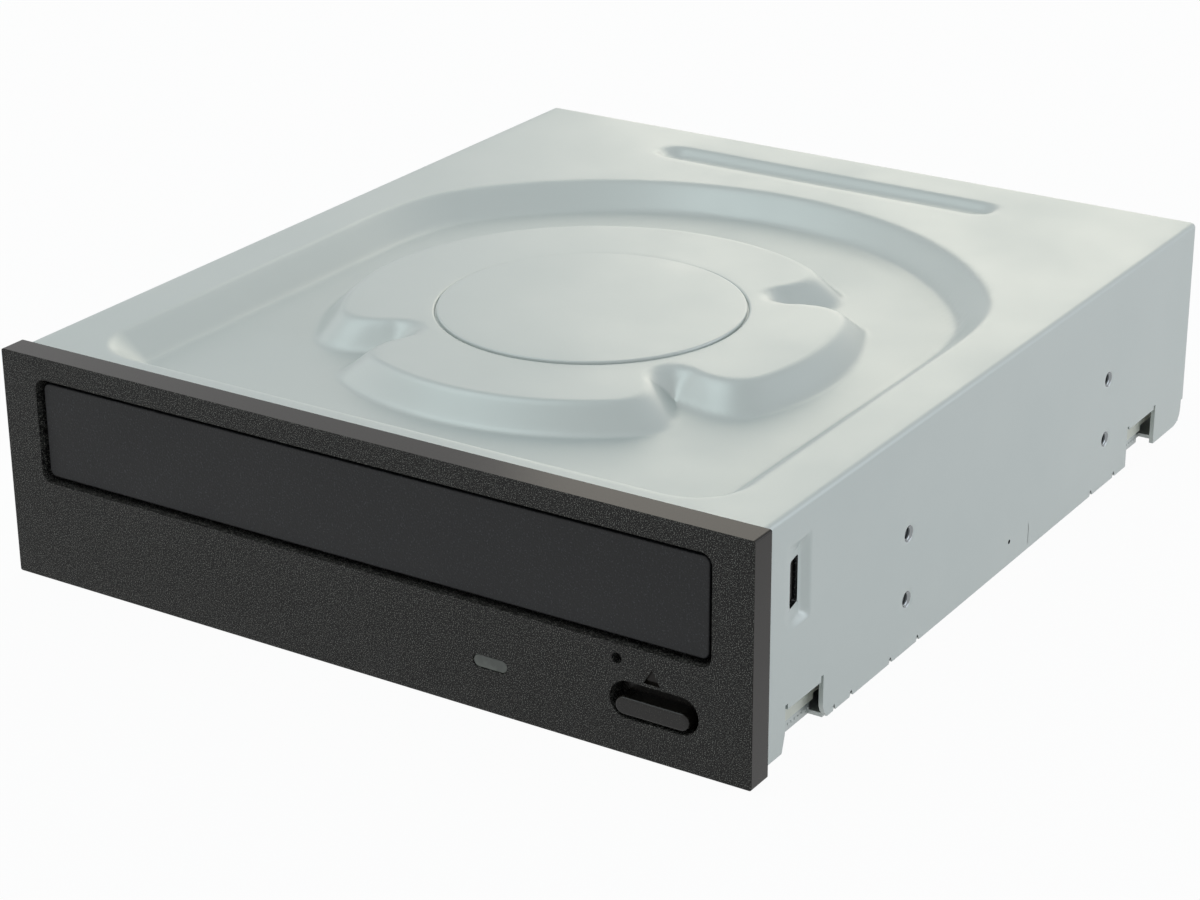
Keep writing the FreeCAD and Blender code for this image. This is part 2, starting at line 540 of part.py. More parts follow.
def side_cuts(mirror):
    shut = across(mirror, "side", "side + 1")
    deep = across(mirror, "side - pocket_depth", "side + 1")
    levels = ("clip_low - pocket_margin + sheet_thick", "clip_low + clip_height + pocket_margin - sheet_thick")
    turn = "front + pocket_end - pocket_wall - sheet_thick / 2"
    pocket = join(ramp("front + pocket_start", turn, (shut, deep), (levels, levels)),
                  ramp(turn, "front + pocket_end - sheet_thick / 2", (deep, shut), (levels, levels)))
    window = block(*across(mirror, "inner_side - 2", "side + 1"), "front + clip_setback - clip_width / 2",
                   "front + clip_setback + clip_width / 2", "clip_low", "clip_low + clip_height")
    notches = [block(*across(mirror, "inner_side - 0.01", "side + 1"), f"front + {start}", f"front + {end}", "0", "notch_top")
               for start, end in (("front_notch_start", "front_notch_end"), ("rear_notch_start", "rear_notch_end"))]
    low, high = across(mirror, "inner_side - 3", "side + 1")
    holes = [rod("hole_radius", f"({high}) - ({low})", low, y, z, "x") for y, z in side_holes()]
    low, high = across(mirror, "inner_side - 0.01", "side + 1")
    tail = block(low, high, "back - tail_step", "back + 1", "0", "rear_wall_low")
    corner_y = "(back - tail_step - rear_corner_radius)"
    corner = less(block(low, high, corner_y, "back", "0", "skirt_level + rear_corner_radius"),
                  rod("rear_corner_radius", f"({high}) - ({low})", low, corner_y, "skirt_level + rear_corner_radius", "x"))
    # The lower ends of the front notch lean away from it.
    through = ((low, high), (low, high))
    leans = [
        ramp("front + front_notch_start - notch_lean", "front + front_notch_start + 0.1", through,
             (("0", "skirt_level"), ("0", "skirt_level + notch_lean_rise"))),
        ramp("front + front_notch_end - 0.1", "front + front_notch_end + notch_back_lean", through,
             (("0", "skirt_level + notch_back_rise"), ("0", "skirt_level"))),
    ]
    return [pocket, window, *notches, *holes, tail, corner, *leans]


top_cover()


# Base plate with its side lips, pressed panel and tapped holes.
def bottom_cover():
    plate = block("-plate_side", "plate_side", "body_front", "back - seam_clearance", "base_level", "plate_top")
    panel = block("-panel_half_width", "panel_half_width", "front + panel_start", "front + panel_end",
                  "plate_top", "panel_top")
    sunk = block("-(panel_half_width - sheet_thick)", "panel_half_width - sheet_thick",
                 "front + panel_start + sheet_thick", "front + panel_end - sheet_thick", "0", "base_level + panel_rise")
    lip_start = "front + front_notch_end + 2"
    lip_end = "front + rear_notch_start"
    added = [panel]
    cuts = [sunk]
    for mirror in ("", "-"):
        added.append(block(*across(mirror, "plate_side - sheet_thick", "plate_side"), lip_start, lip_end,
                           "base_level", "flange_top"))
        depth = across(mirror, "side - plate_notch_depth", "side + 1")
        cuts.append(block(*depth, "front + front_notch_start", "front + front_notch_end + 1.5", "0", "notch_top"))
        cuts.append(block(*depth, "front + rear_notch_start", "front + rear_notch_end + 3", "0", "notch_top"))
        for y in ("hole_front", "hole_rear"):
            added.append(rod("hole_radius + collar_wall", "sheet_thick + hole_collar", f"{mirror}base_hole_span / 2",
                             y, "base_level"))
            cuts.append(rod("hole_radius", "10", f"{mirror}base_hole_span / 2", y, "0"))
        for y in ("boss_front", "boss_rear"):
            cuts.append(rod("screw_radius + 0.2", "10", f"{mirror}boss_x", f"front + {y}", "0"))
            cuts.append(rod("screw_head + 0.2", "base_level + screw_head_thick - base_level", f"{mirror}boss_x",
                            f"front + {y}", "0"))
            added.append(rod("screw_head + 1", "sheet_thick * 2", f"{mirror}boss_x", f"front + {y}", "base_level"))
    rear_lip = block("-(plate_side - 3)", "plate_side - 3", "back - sheet_thick * 2 - seam_clearance * 2",
                     "back - sheet_thick - seam_clearance * 2", "base_level", "rear_wall_low + 1")
    added.append(rear_lip)
    plug_gap = "(plug_width / 2 + 0.5)"
    cuts.append(block(f"plug_x - {plug_gap}", f"plug_x + {plug_gap}", "back - 3", "back + 1", "plate_top", "rear_wall_low + 5"))
    return node(less(join(plate, *added), *cuts), "bottom_cover")


bottom_cover()


# Front moulding with its door opening, controls and side hooks.
def bezel():
    half = "bezel_width / 2"
    face = rounded(block(f"-{half}", half, "front", "body_front", "0", "bezel_height"), "0.4", "y")
    inside = block(f"-({half} - bezel_rim)", f"{half} - bezel_rim", "front + bezel_face", "body_front + 1",
                   "bezel_rim", "bezel_height - bezel_rim")
    opening_half = "door_opening_width / 2"
    opening_top = "(door_opening_low + door_opening_height)"
    frame = block(f"-({opening_half} + door_frame)", f"{opening_half} + door_frame", "front + bezel_face", "body_front",
                  "door_opening_low - door_frame", f"{opening_top} + door_frame")
    opening = rounded(block(f"-{opening_half}", opening_half, "front - 1", "body_front + 1", "door_opening_low",
                            opening_top), "door_opening_corner", "y")
    collar = pill("button_opening + 2", "button_opening_height + 2", "bezel_depth", "button_x",
                  "(front + bezel_face / 2)", "button_level")
    well = pill("button_opening", "button_opening_height", "bezel_depth * 2", "button_x", "(front - 1)", "button_level")
    light = pill("led_width + led_clearance * 2", "led_height + led_clearance * 2", "bezel_depth * 2", "led_x",
                 "(front - 1)", "led_level")
    pinhole = rod("pinhole_radius", "bezel_depth * 2", "pinhole_x", "front - 1", "pinhole_level", "y")
    mark = doc.addObject("Part::Prism", "mark")
    mark.Polygon = 3
    tie(mark, "Circumradius", "mark_radius")
    tie(mark, "Height", "mark_depth + 1")
    mark.Placement = FreeCAD.Placement(
        FreeCAD.Vector(), FreeCAD.Rotation(FreeCAD.Vector(1, 0, 0), FreeCAD.Vector(0, 1, 0), FreeCAD.Vector(0, 0, 1))
        .multiply(FreeCAD.Rotation(0, 0, -90)).multiply(FreeCAD.Rotation(-90, 0, 0)))
    put(mark, "mark_x", "front - 1", "mark_level")
    arms = []
    for mirror in ("", "-"):
        outer = "inner_side - pocket_depth - hook_clearance"
        arm = block(*across(mirror, f"{outer} - hook_arm_thick", outer), "front + bezel_face / 2",
                    "body_front + hook_arm_length", "clip_middle - hook_arm_height / 2", "clip_middle + hook_arm_height / 2")
        hook = block(*across(mirror, f"{outer} - 0.5", "side - pocket_depth - 0.3"),
                     "front + clip_setback - clip_width / 2 + hook_clearance",
                     "front + clip_setback + clip_width / 2 - hook_clearance",
                     "clip_low + hook_clearance", "clip_low + clip_height - hook_clearance")
        arms += [arm, hook]
    shell = less(face, inside)
    return node(less(join(shell, frame, collar, *arms), opening, well, light, pinhole, mark), "bezel")


bezel()


# Door on the front of the tray, with hooks that clip under the tray's front wall.
def tray_door():
    panel = rounded(block("-door_half_width", "door_half_width", "front + door_inset", "door_back", "door_low",
                          "door_top"), "door_corner", "y")
    hooks = []
    for mirror in ("", "-"):
        span = across(mirror, "tray_half_width - 3 * door_hook_width", "tray_half_width - 2 * door_hook_width")
        wall_back = "door_back + tray_wall + running_gap / 2"
        shelf = block(*span, "door_back", f"{wall_back} + 1.3", "tray_wall_low - 1.5", "tray_wall_low - 0.15")
        lip = block(*span, wall_back, f"{wall_back} + 1.3", "tray_wall_low - 0.15", "tray_wall_low + 1.2")
        hooks += [shelf, lip]
    return node(join(panel, *hooks), "tray_door")


tray_door()


# Disc tray: one moulding, open along its middle to the back, with a rack under its left side.
def rack():
    strip = new_body("rack")
    low = sketch_on(strip, "XY_Plane")
    pitch = "pi * rack_module"
    count = "floor((tray_end - rack_start) / (pi * rack_module)) - 1"
    outline(low, [("-rack_back", "0"), (f"{tooth_rise['root']} * rack_module", "0"),
                  (f"{tooth_rise['root']} * rack_module", f"({count}) * {pitch}"), ("-rack_back", f"({count}) * {pitch}")])
    raised(strip, low, "tray_low - rack_low")
    tooth = sketch_on(strip, "XY_Plane")
    corners = []
    for part, side in (("root", -1), ("pitch", -1), ("tip", -1), ("tip", 1), ("pitch", 1), ("root", 1)):
        reach = f"{tooth_rise[part]} * rack_module"
        corners.append((reach, f"({side} * {tooth_share[part]} + 1) * pi * rack_module / 2"))
    corners[0] = ("-rack_back * 0.6", corners[0][1])
    corners[-1] = ("-rack_back * 0.6", corners[-1][1])
    outline(tooth, corners)
    first = raised(strip, tooth, "tray_low - rack_low")
    row = strip.newObject("PartDesign::LinearPattern", "row")
    row.Originals = [first]
    row.Direction = (tooth, ["V_Axis"])
    tie(row, "Length", f"(({count}) - 1) * {pitch}")
    tie(row, "Occurrences", count)
    strip.Tip = row
    # A tooth gap faces the middle of the gear when the tray is shut.
    phase = f"(tray_gear_setback - rack_start) / ({pitch})"
    return put(strip, "rack_pitch_x", f"front + rack_start + ({phase} - floor({phase})) * {pitch}", "rack_low")


def disc_tray():
    deck = block("-tray_half_width", "tray_half_width", "door_back", "front + tray_end", "tray_low", "tray_rim")
    wall = block("-(tray_half_width - 2)", "tray_half_width - 2", "door_back", "door_back + tray_wall", "tray_wall_low",
                 "tray_rim")
    flanges = [block(*across(mirror, "tray_half_width - 1", "tray_flange_side"), "front + frame_start", "front + tray_end",
                     "tray_low", "tray_low + tray_flange") for mirror in ("", "-")]
    over = "tray_rim + 1"
    disc = rod("disc_radius", f"{over} - disc_floor", "0", "spindle_y", "disc_floor")
    small = rod("small_disc_radius", f"{over} - small_disc_floor", "0", "spindle_y", "small_disc_floor")
    spindle = rod("slot_half_width", f"{over} - tray_wall_low", "0", "spindle_y", "tray_wall_low")
    slot = block("-slot_half_width", "slot_half_width", "spindle_y", "front + tray_end + 1", "tray_wall_low", over)
    tail = [block(*across(mirror, "slot_half_width + tray_wall", "tray_half_width - tray_wall * 2"),
                  "spindle_y + disc_radius + tray_wall", "front + tray_end - tray_wall", "tray_low + tray_wall", over)
            for mirror in ("", "-")]
    return node(less(join(deck, wall, *flanges, rack()), disc, small, spindle, slot, *tail), "disc_tray")


disc_tray()


# Loader frame: side walls, front deck, back beam, gear posts and screw bosses.
def main_frame():
    start = "front + frame_start"
    end = "front + frame_end"
    added = []
    cuts = []
    for mirror in ("", "-"):
        wall = across(mirror, "frame_inner", "frame_side")
        added.append(block(*wall, start, end, "frame_low", "frame_top"))
        cuts.append(block(*across(mirror, "frame_inner - 1", "side"), "front", "body_front + hook_arm_length + 1",
                          "clip_low - 2", "body_top"))
        added.append(block(*across(mirror, "window_half_width", "frame_inner"), start, end, "deck_low", "deck_top"))
        ledge = across(mirror, "frame_inner - guide_reach", "frame_inner")
        added.append(block(*ledge, start, "front + tray_end", "tray_low - running_gap - guide_thick",
                           "tray_low - running_gap"))
        upper = "tray_low + tray_flange + running_gap"
        added.append(block(*ledge, start, "front + 3 * frame_start", upper, f"{upper} + guide_thick"))
        added.append(block(*ledge, "spindle_y + disc_radius", "front + tray_end", upper, f"{upper} + guide_thick"))
        for y in ("boss_front", "boss_rear"):
            added.append(rod("boss_radius", "deck_low - plate_top - sheet_thick", f"{mirror}boss_x", f"front + {y}",
                             "plate_top + sheet_thick"))
            cuts.append(rod("screw_radius", "screw_length + 1", f"{mirror}boss_x", f"front + {y}", "0"))
        for y in ("board_post_front", "board_post_rear"):
            added.append(rod("board_post_radius", "deck_low - board_top", f"{mirror}board_post_x", f"front + {y}", "board_top"))
            cuts.append(rod("screw_radius", "screw_length - board_thick", f"{mirror}board_post_x", f"front + {y}", "board_top"))
        pivot = across(mirror, "window_half_width", "window_half_width + pivot_length + 1")
        added.append(block(*pivot, "pivot_y - 4.5", "pivot_y + 4.5", "pivot_level - 3.6", "pivot_level + 4.5"))
        low, high = across(mirror, "lift_half_width", "lift_half_width + pivot_length + 1")
        cuts.append(rod("pivot_radius + post_clearance", f"({high}) - ({low})", low, "pivot_y", "pivot_level", "x"))
        reach = across(mirror, "frame_inner - 1", "side")
        for y, z in side_holes():
            cuts.append(rod("hole_radius + collar_wall + 0.8", f"({reach[1]}) - ({reach[0]})", reach[0], y, z, "x"))
        for y in ("hole_front", "hole_rear"):
            cuts.append(rod("hole_radius + collar_wall + 0.5", "4", f"{mirror}base_hole_span / 2", y, "frame_low - 1"))
        for y in ("spindle_y - bridge_half_depth + 5", "spindle_y + bridge_half_depth - 5"):
            added.append(block(*across(mirror, "frame_inner - 1.6", "frame_side"), f"{y} - 2.6", f"{y} + 2.6",
                               "tray_rim + running_gap", "bridge_low"))
            cuts.append(rod("screw_radius - 0.3", "bridge_low - tray_rim - running_gap * 2",
                            f"{mirror}(frame_side - (frame_wall + 1.6) / 2)", y, "tray_rim + running_gap * 2"))
    front_left = block("-frame_inner", "front_board_start - 6", "front + 9", "front + deck_end", "deck_low", "deck_top")
    front_right = block("front_board_start - 7", "frame_inner", "front + 17", "front + deck_end", "deck_low", "deck_top")
    beam = block("-frame_inner", "frame_inner", "front + window_end", end, "deck_low", "deck_top")
    lugs = [block(f"{x} - 2.5", f"{x} + 2.5", "front_board_y + front_board_thick", "front + 18", "deck_low - 4", "deck_top")
            for x in ("(front_board_start + 12)", "(front_board_end - 4)")]
    posts = [rod("post_radius", f"({top}) - deck_top", x, y, "deck_top") for x, y, top in (
        ("tray_gear_x", "tray_gear_y", "tray_low - running_gap * 2"), ("idler_x", "idler_y", "rack_low - running_gap"),
        ("pulley_x", "pulley_y", "pulley_top + 2.2"))]
    cuts.append(rod("motor_groove + 2", "10", "motor_x", "motor_y", "deck_low - 1"))
    for sign in ("-", "+"):
        cuts.append(rod("screw_radius", "10", f"motor_x {sign} motor_radius * 0.7", "motor_y", "deck_low - 1"))
    for x in ("(front_board_start + 12)", "(front_board_end - 4)"):
        cuts.append(rod("screw_radius", "5.5", x, "front_board_y", "deck_low - 2", "y"))
    return node(less(join(*added, front_left, front_right, beam, *lugs, *posts), *cuts), "main_frame")


main_frame()


# Bridge across the frame that carries the clamper over the spindle.
def clamp_bridge():
    depth = "bridge_half_depth"
    plate = block("-frame_side", "frame_side", f"spindle_y - {depth}", f"spindle_y + {depth}", "bridge_low", "bridge_top")
    bore = rod("bridge_bore", "10", "0", "spindle_y", "bridge_low - 5")
    slots = [block(*across(mirror, "bridge_bore + 12", "frame_inner - 10"), "spindle_y - 10", "spindle_y + 10",
                   "bridge_low - 1", "bridge_top + 1") for mirror in ("", "-")]
    ribs = [block("-(frame_inner - 6)", "frame_inner - 6", f"spindle_y {sign} {depth} - 0.6", f"spindle_y {sign} {depth} + 0.6",
                  "bridge_low", "bridge_top + 0.9") for sign in "-+"]
    screws = []
    holes = []
    for mirror in ("", "-"):
        for y in (f"spindle_y - {depth} + 5", f"spindle_y + {depth} - 5"):
            x = f"{mirror}(frame_side - (frame_wall + 1.6) / 2)"
            holes.append(rod("screw_radius - 0.3", "10", x, y, "bridge_low - 5"))
            screws.append(join(rod("screw_head - 0.5", "0.9", x, y, "bridge_top"),
                               rod("screw_radius - 0.3", "bridge_thick + 1.4", x, y, "bridge_low - 1.4")))
    node(less(join(plate, *ribs), bore, *slots, *holes), "clamp_bridge")
    node(group(*screws), "bridge_screws")


clamp_bridge()


# Screws that hold the base plate to the frame.
def cover_screws():
    spots = [(f"{mirror}boss_x", f"front + {y}") for mirror in ("", "-") for y in ("boss_front", "boss_rear")]
    node(group(*[screw(x, y, "screw_head_thick", -1, "screw_length - 0.5") for x, y in spots]), "cover_screws")


cover_screws()


# Clamper: a plastic puck that hangs in the bridge, with a steel plate for the magnet.
def clamper():
    seat_low = "clamper_flange_low + clamper_flange_thick - clamp_plate_thick"
    top = "clamper_flange_low + clamper_flange_thick"
    puck = [
        ("cone_radius + 1.2", "clamper_low"), ("clamper_radius", "clamper_low"), ("clamper_radius", "clamper_low + 2"),
        ("clamper_hub", "clamper_low + 2.6"), ("clamper_hub", "clamper_flange_low"),
        ("clamper_flange", "clamper_flange_low"), ("clamper_flange", top), ("clamp_plate_radius + 0.05", top),
        ("clamp_plate_radius + 0.05", seat_low), ("1.5", seat_low), ("1.5", "clamper_low + 2.6"),
        ("cone_radius + 1.2", "clamper_low + 2.6"),
    ]
    node(turned("clamper", puck, "0", "spindle_y"), "clamper")
    node(rod("clamp_plate_radius", "clamp_plate_thick", "0", "spindle_y", seat_low), "clamp_plate")


clamper()


# Loading gears on their posts, and the pulley that the motor drives.
def stage(name, gears, hub_low, hub_top, hub, x, y):
    # Gears of one piece on a shared hub with a running bore.
    core = rod(hub, f"({hub_top}) - ({hub_low})", "0", "0", hub_low)
    bore = rod("post_radius + post_clearance", "30", "0", "0", "0")
    whole = less(join(core, *gears), bore)
    return node(put(whole, x, y, "0"), name)


def gear_train():
    wheel_low = "pulley_top + 0.4"
    pinion_low = "(pulley_top + 2.3)"
    # Turned so that a tooth of each gear stands in a gap of its neighbour.
    tray_turn = "180"
    tray_wheel_turn = "idler_angle"
    idler_pinion_turn = "idler_angle + 180 + 180 / idler_pinion_teeth"
    idler_wheel_turn = "pulley_angle"
    pulley_turn = "pulley_angle + 180 + 180 / pulley_pinion_teeth"
    stage("tray_gear", [
        toothed("rack_pinion", "rack_module", "tray_gear_teeth", "rack_low", "tray_low - rack_low - running_gap * 1.2", tray_turn),
        toothed("tray_wheel", "gear_module", "tray_wheel_teeth", pinion_low, "1.4", tray_wheel_turn),
    ], "deck_top + running_gap", "tray_low - running_gap * 1.2", "hub_radius", "tray_gear_x", "tray_gear_y")
    stage("reduction_gear", [
        toothed("idler_pinion", "gear_module", "idler_pinion_teeth", wheel_low, "3.6", idler_pinion_turn),
        toothed("idler_wheel", "gear_module", "idler_wheel_teeth", wheel_low, "1.5", idler_wheel_turn),
    ], "deck_top + running_gap", f"{wheel_low} + 3.6", "hub_radius - 0.4", "idler_x", "idler_y")
    rim = "pulley_groove + groove_lip"
    grooved = [
        ("post_radius + post_clearance", "pulley_low"), (rim, "pulley_low"), (rim, "pulley_low + 0.25"),
        ("pulley_groove", "pulley_low + 0.3"), ("pulley_groove", "pulley_top - 0.3"), (rim, "pulley_top - 0.25"),
        (rim, "pulley_top"), ("post_radius + post_clearance", "pulley_top"),
    ]
    stage("belt_pulley", [
        turned("big_pulley", grooved, "0", "0"),
        toothed("pulley_pinion", "gear_module", "pulley_pinion_teeth", "pulley_top - 0.1", "2.1", pulley_turn),
    ], "pulley_low", "pulley_top + 2", "2.3", "pulley_x", "pulley_y")


gear_train()


# Loading motor under the deck, its shaft, its pulley and the belt.
def loading_motor():
    can = rod("motor_radius", "deck_low - motor_low", "motor_x", "motor_y", "motor_low")
    neck = rod("motor_groove", "1", "motor_x", "motor_y", "deck_low")
    bore = rod("shaft_radius + 0.05", "20", "motor_x", "motor_y", "motor_low + 2")
    spots = [f"motor_x {sign} motor_radius * 0.7" for sign in ("-", "+")]
    holes = [rod("screw_radius", "3", x, "motor_y", "deck_low - 3") for x in spots]
    node(less(join(can, neck), bore, *holes), "loading_motor")
    node(group(*[screw(x, "motor_y", "deck_top", 1, "deck_thick + 2") for x in spots]), "motor_screws")
    node(rod("shaft_radius", "pulley_top + 0.6 - motor_low - 2.2", "motor_x", "motor_y", "motor_low + 2.2"), "motor_shaft")
    lip = "motor_groove + groove_lip"
    grooved = [
        ("shaft_radius", "pulley_low"), (lip, "pulley_low"), (lip, "pulley_low + 0.25"),
        ("motor_groove", "pulley_low + 0.3"), ("motor_groove", "pulley_top - 0.3"), (lip, "pulley_top - 0.25"),
        (lip, "pulley_top"), ("shaft_radius", "pulley_top"),
    ]
    node(turned("motor_pulley", grooved, "motor_x", "motor_y"), "motor_pulley")


loading_motor()


def drive_belt():
    # A closed square belt: tangent lines and arcs round the two pulleys.
    def loop(offset):
        big = number("pulley_groove + belt_clearance") + offset
        small = number("motor_groove + belt_clearance") + offset
        start = FreeCAD.Vector(number("pulley_x"), number("pulley_y"), 0)
        finish = FreeCAD.Vector(number("motor_x"), number("motor_y"), 0)
        along = finish - start
        reach = along.Length
        along.normalize()
        square = FreeCAD.Vector(-along.y, along.x, 0)
        lean = (big - small) / reach
        rise = math.sqrt(1 - lean * lean)
        upper = along * lean + square * rise
        lower = along * lean - square * rise
        return Part.Wire([
            Part.LineSegment(start + upper * big, finish + upper * small).toShape(),
            Part.Arc(finish + upper * small, finish + along * small, finish + lower * small).toShape(),
            Part.LineSegment(finish + lower * small, start + lower * big).toShape(),
            Part.Arc(start + lower * big, start - along * big, start + upper * big).toShape(),
        ])
    section = number("belt_section")
    outer = Part.Face(loop(section))
    inner = Part.Face(loop(0))
    belt = doc.addObject("Part::Feature", "belt")
    belt.Shape = outer.cut(inner).extrude(FreeCAD.Vector(0, 0, number("pulley_thick") - 0.6))
    belt.Placement = FreeCAD.Placement(FreeCAD.Vector(0, 0, number("pulley_low") + 0.3), FreeCAD.Rotation())
    node(belt, "drive_belt")


drive_belt()


# Cam slider: its slanted slot lifts the traverse as it slides across.
def cam_slider():
    end = "cam_start + cam_length"
    flange = block("cam_start", end, "cam_front - cam_flange", "cam_front + cam_wall", "cam_base", "cam_base + cam_thick")
    wall = block("cam_start", end, "cam_front", "cam_front + cam_wall", "cam_low", "cam_base + cam_thick")
    length = "sqrt(cam_travel ^ 2 + cam_drop ^ 2)"
    radius = "cam_pin_radius + cam_slot_clearance"
    bar = doc.addObject("Part::Box", "slot_bar")
    tie(bar, "Length", length)
    tie(bar, "Width", "cam_wall + 2")
    tie(bar, "Height", f"2 * ({radius})")
    put(bar, "0", "0", f"-({radius})")
    ends = [rod(radius, "cam_wall + 2", x, "0", "0", "y") for x in ("0", length)]
    slot = join(bar, *ends)
    slot.Placement = FreeCAD.Placement(FreeCAD.Vector(), FreeCAD.Rotation(FreeCAD.Vector(0, -1, 0), 0))
    tie(slot, "Placement.Rotation.Angle", "atan(cam_drop / cam_travel)")
    put(slot, "-cam_travel", "cam_front - 1", "cam_pin_level - cam_drop")
    node(less(join(flange, wall), slot), "cam_slider")


cam_slider()


# Lifting frame that pivots at the back and rides on the cam at the front.
def lift_frame():
    ring = less(
        block("-lift_half_width", "lift_half_width", "front + lift_start", "front + lift_end", "lift_low", "lift_top"),
        block("-lift_inner_half", "lift_inner_half", "front + lift_inner_start", "front + lift_inner_end", "0", "body_top"))
    pin_start = "cam_front - running_gap"
    pin = rod("cam_pin_radius", f"front + lift_start + 1 - ({pin_start})", "0", pin_start, "cam_pin_level", "y")
    trunnions = []
    for mirror in ("", "-"):
        low, high = across(mirror, "lift_half_width - 1", "lift_half_width + pivot_length")
        trunnions.append(rod("pivot_radius", f"({high}) - ({low})", low, "pivot_y", "pivot_level", "x"))
        low, high = across(mirror, "lift_half_width - 4", "lift_half_width")
        trunnions.append(block(low, high, "pivot_y - 3", "front + lift_end", "lift_low", "pivot_level + pivot_radius + 1"))
    bores = [rod("screw_radius", "10", x, y, "lift_low - 1") for x, y in grommet_spots()]
    node(less(join(ring, pin, *trunnions), *bores), "lift_frame")


def grommet_spots():
    return [(f"{mirror}grommet_x", f"front + {y}") for mirror in ("", "-") for y in ("grommet_front", "grommet_rear")]


def grommets():
    rings = []
    screws = []
    for x, y in grommet_spots():
        body = rod("grommet_radius", "grommet_height", x, y, "lift_top")
        waist = less(rod("grommet_radius + 1", "traverse_thick", x, y, "traverse_low"),
                     rod("grommet_waist", "traverse_thick", x, y, "traverse_low"))
        rings.append(less(body, waist, rod("screw_radius", "20", x, y, "0")))
        screws.append(screw(x, y, "lift_top + grommet_height", 1, "grommet_height + lift_thick - 0.3"))
    node(group(*rings), "grommets")
    node(group(*screws), "grommet_screws")


lift_frame()
grommets()


# Traverse plate with the rod seats and the sled motor's brackets.
def traverse_base():
    plate = block("-traverse_half_width", "traverse_half_width", "front + traverse_start", "front + traverse_end",
                  "traverse_low", "traverse_top")
    seats = []
    bores = []
    for mirror in ("", "-"):
        for low, high in (("rod_start - 1", "rod_start + 2"), ("rod_end - 2", "rod_end + 1")):
            seats.append(block(*across(mirror, "rod_x - 2.4", "rod_x + 2.4"), f"front + {low}", f"front + {high}",
                               "traverse_low", "rod_level + 2.2"))
        bores.append(rod("rod_radius", "rod_end - rod_start", f"{mirror}rod_x", "front + rod_start", "rod_level", "y"))
    brackets = [block("screw_x - 4.6", "screw_x + 3", f"front + {low}", f"front + {low} + bracket_thick", "traverse_low",
                      "screw_level + 4.2") for low in ("lead_start", "lead_end - bracket_thick")]
    guides = rod("lead_radius + rod_clearance", "lead_end - lead_start + 2", "screw_x", "front + lead_start - 1",
                 "screw_level", "y")
    motor_bay = block("screw_x - sled_motor_radius - 0.6", "screw_x + sled_motor_radius + 0.6",
                      "front + lead_start - sled_motor_length - 0.6", "front + lead_start", "traverse_low - 1", "traverse_top + 1")
    pickup_bay = block("-pickup_half_width", "pickup_half_width", "front + pickup_start + 2", "front + lift_inner_end",
                       "traverse_low - 1", "traverse_top + 0.5")
    bearing = rod("bearing_radius", "10", "0", "spindle_y", "traverse_low - 5")
    holes = [rod("grommet_waist", "10", x, y, "traverse_low - 5") for x, y in grommet_spots()]
    node(less(join(plate, *seats, *brackets), *bores, guides, motor_bay, pickup_bay, bearing, *holes), "traverse_base")


traverse_base()


def traverse_fittings():
    for name, mirror in (("guide_rod_main", "-"), ("guide_rod_sub", "")):
        node(rod("rod_radius", "rod_end - rod_start", f"{mirror}rod_x", "front + rod_start", "rod_level", "y"), name)
    can = rod("sled_motor_radius", "sled_motor_length - 0.4", "screw_x", "front + lead_start - sled_motor_length",
              "screw_level", "y")
    neck = rod("lead_radius + 1", "0.4", "screw_x", "front + lead_start - 0.4", "screw_level", "y")
    bore = rod("lead_radius + rod_clearance", "3", "screw_x", "front + lead_start - 2.5", "screw_level", "y")
    node(less(join(can, neck), bore), "sled_motor")
    node(rod("lead_radius", "lead_end - lead_start + 2", "screw_x", "front + lead_start - 2", "screw_level", "y"), "lead_screw")


traverse_fittings()


# Spindle motor: fixed coils and bearing, and the turning rotor, table, pad and magnet.
def spindle():
    half = "stator_half_width"
    plate = block(f"-{half}", half, f"spindle_y - {half} + 3", f"spindle_y + {half} - 3", "traverse_top", "stator_top")
    bearing = rod("bearing_radius", "traverse_top + 3 - bearing_low", "0", "spindle_y", "bearing_low")
    coils = rod("coil_radius", "coil_height", "0", "spindle_y", "stator_top")
    bore = rod("spindle_radius + post_clearance", "40", "0", "spindle_y", "bearing_low + 0.8")
    node(less(join(plate, bearing, coils), bore), "spindle_stator")
    rotor = [
        ("0", "bearing_low + 1.2"), ("spindle_radius", "bearing_low + 1.2"), ("spindle_radius", "turntable_low - rotor_wall"),
        ("rotor_radius - rotor_wall", "turntable_low - rotor_wall"), ("rotor_radius - rotor_wall", "rotor_low"),
        ("rotor_radius", "rotor_low"), ("rotor_radius", "turntable_low"), ("0", "turntable_low"),
    ]
    node(turned("spindle_rotor", rotor, "0", "spindle_y"), "spindle_rotor")
    top = "turntable_top"
    table = [
        ("0", "turntable_low"), ("turntable_radius - 1", "turntable_low"), ("turntable_radius", "turntable_low + 1"),
        ("turntable_radius", f"{top} - pad_thick"), ("pad_inner", f"{top} - pad_thick"), ("pad_inner", top),
        ("cone_radius", top), ("cone_radius - 0.9", f"{top} + cone_rise"), ("magnet_radius + 0.05", f"{top} + cone_rise"),
        ("magnet_radius + 0.05", f"{top} + 0.4"), ("0", f"{top} + 0.4"),
    ]
    node(turned("turntable", table, "0", "spindle_y"), "turntable")
    pad = less(rod("turntable_radius - 0.2", "pad_thick", "0", "spindle_y", f"{top} - pad_thick"),
               rod("pad_inner", "pad_thick", "0", "spindle_y", f"{top} - pad_thick"))
    node(pad, "turntable_pad")
    node(rod("magnet_radius", "cone_rise - 0.6", "0", "spindle_y", f"{top} + 0.4"), "turntable_magnet")


spindle()


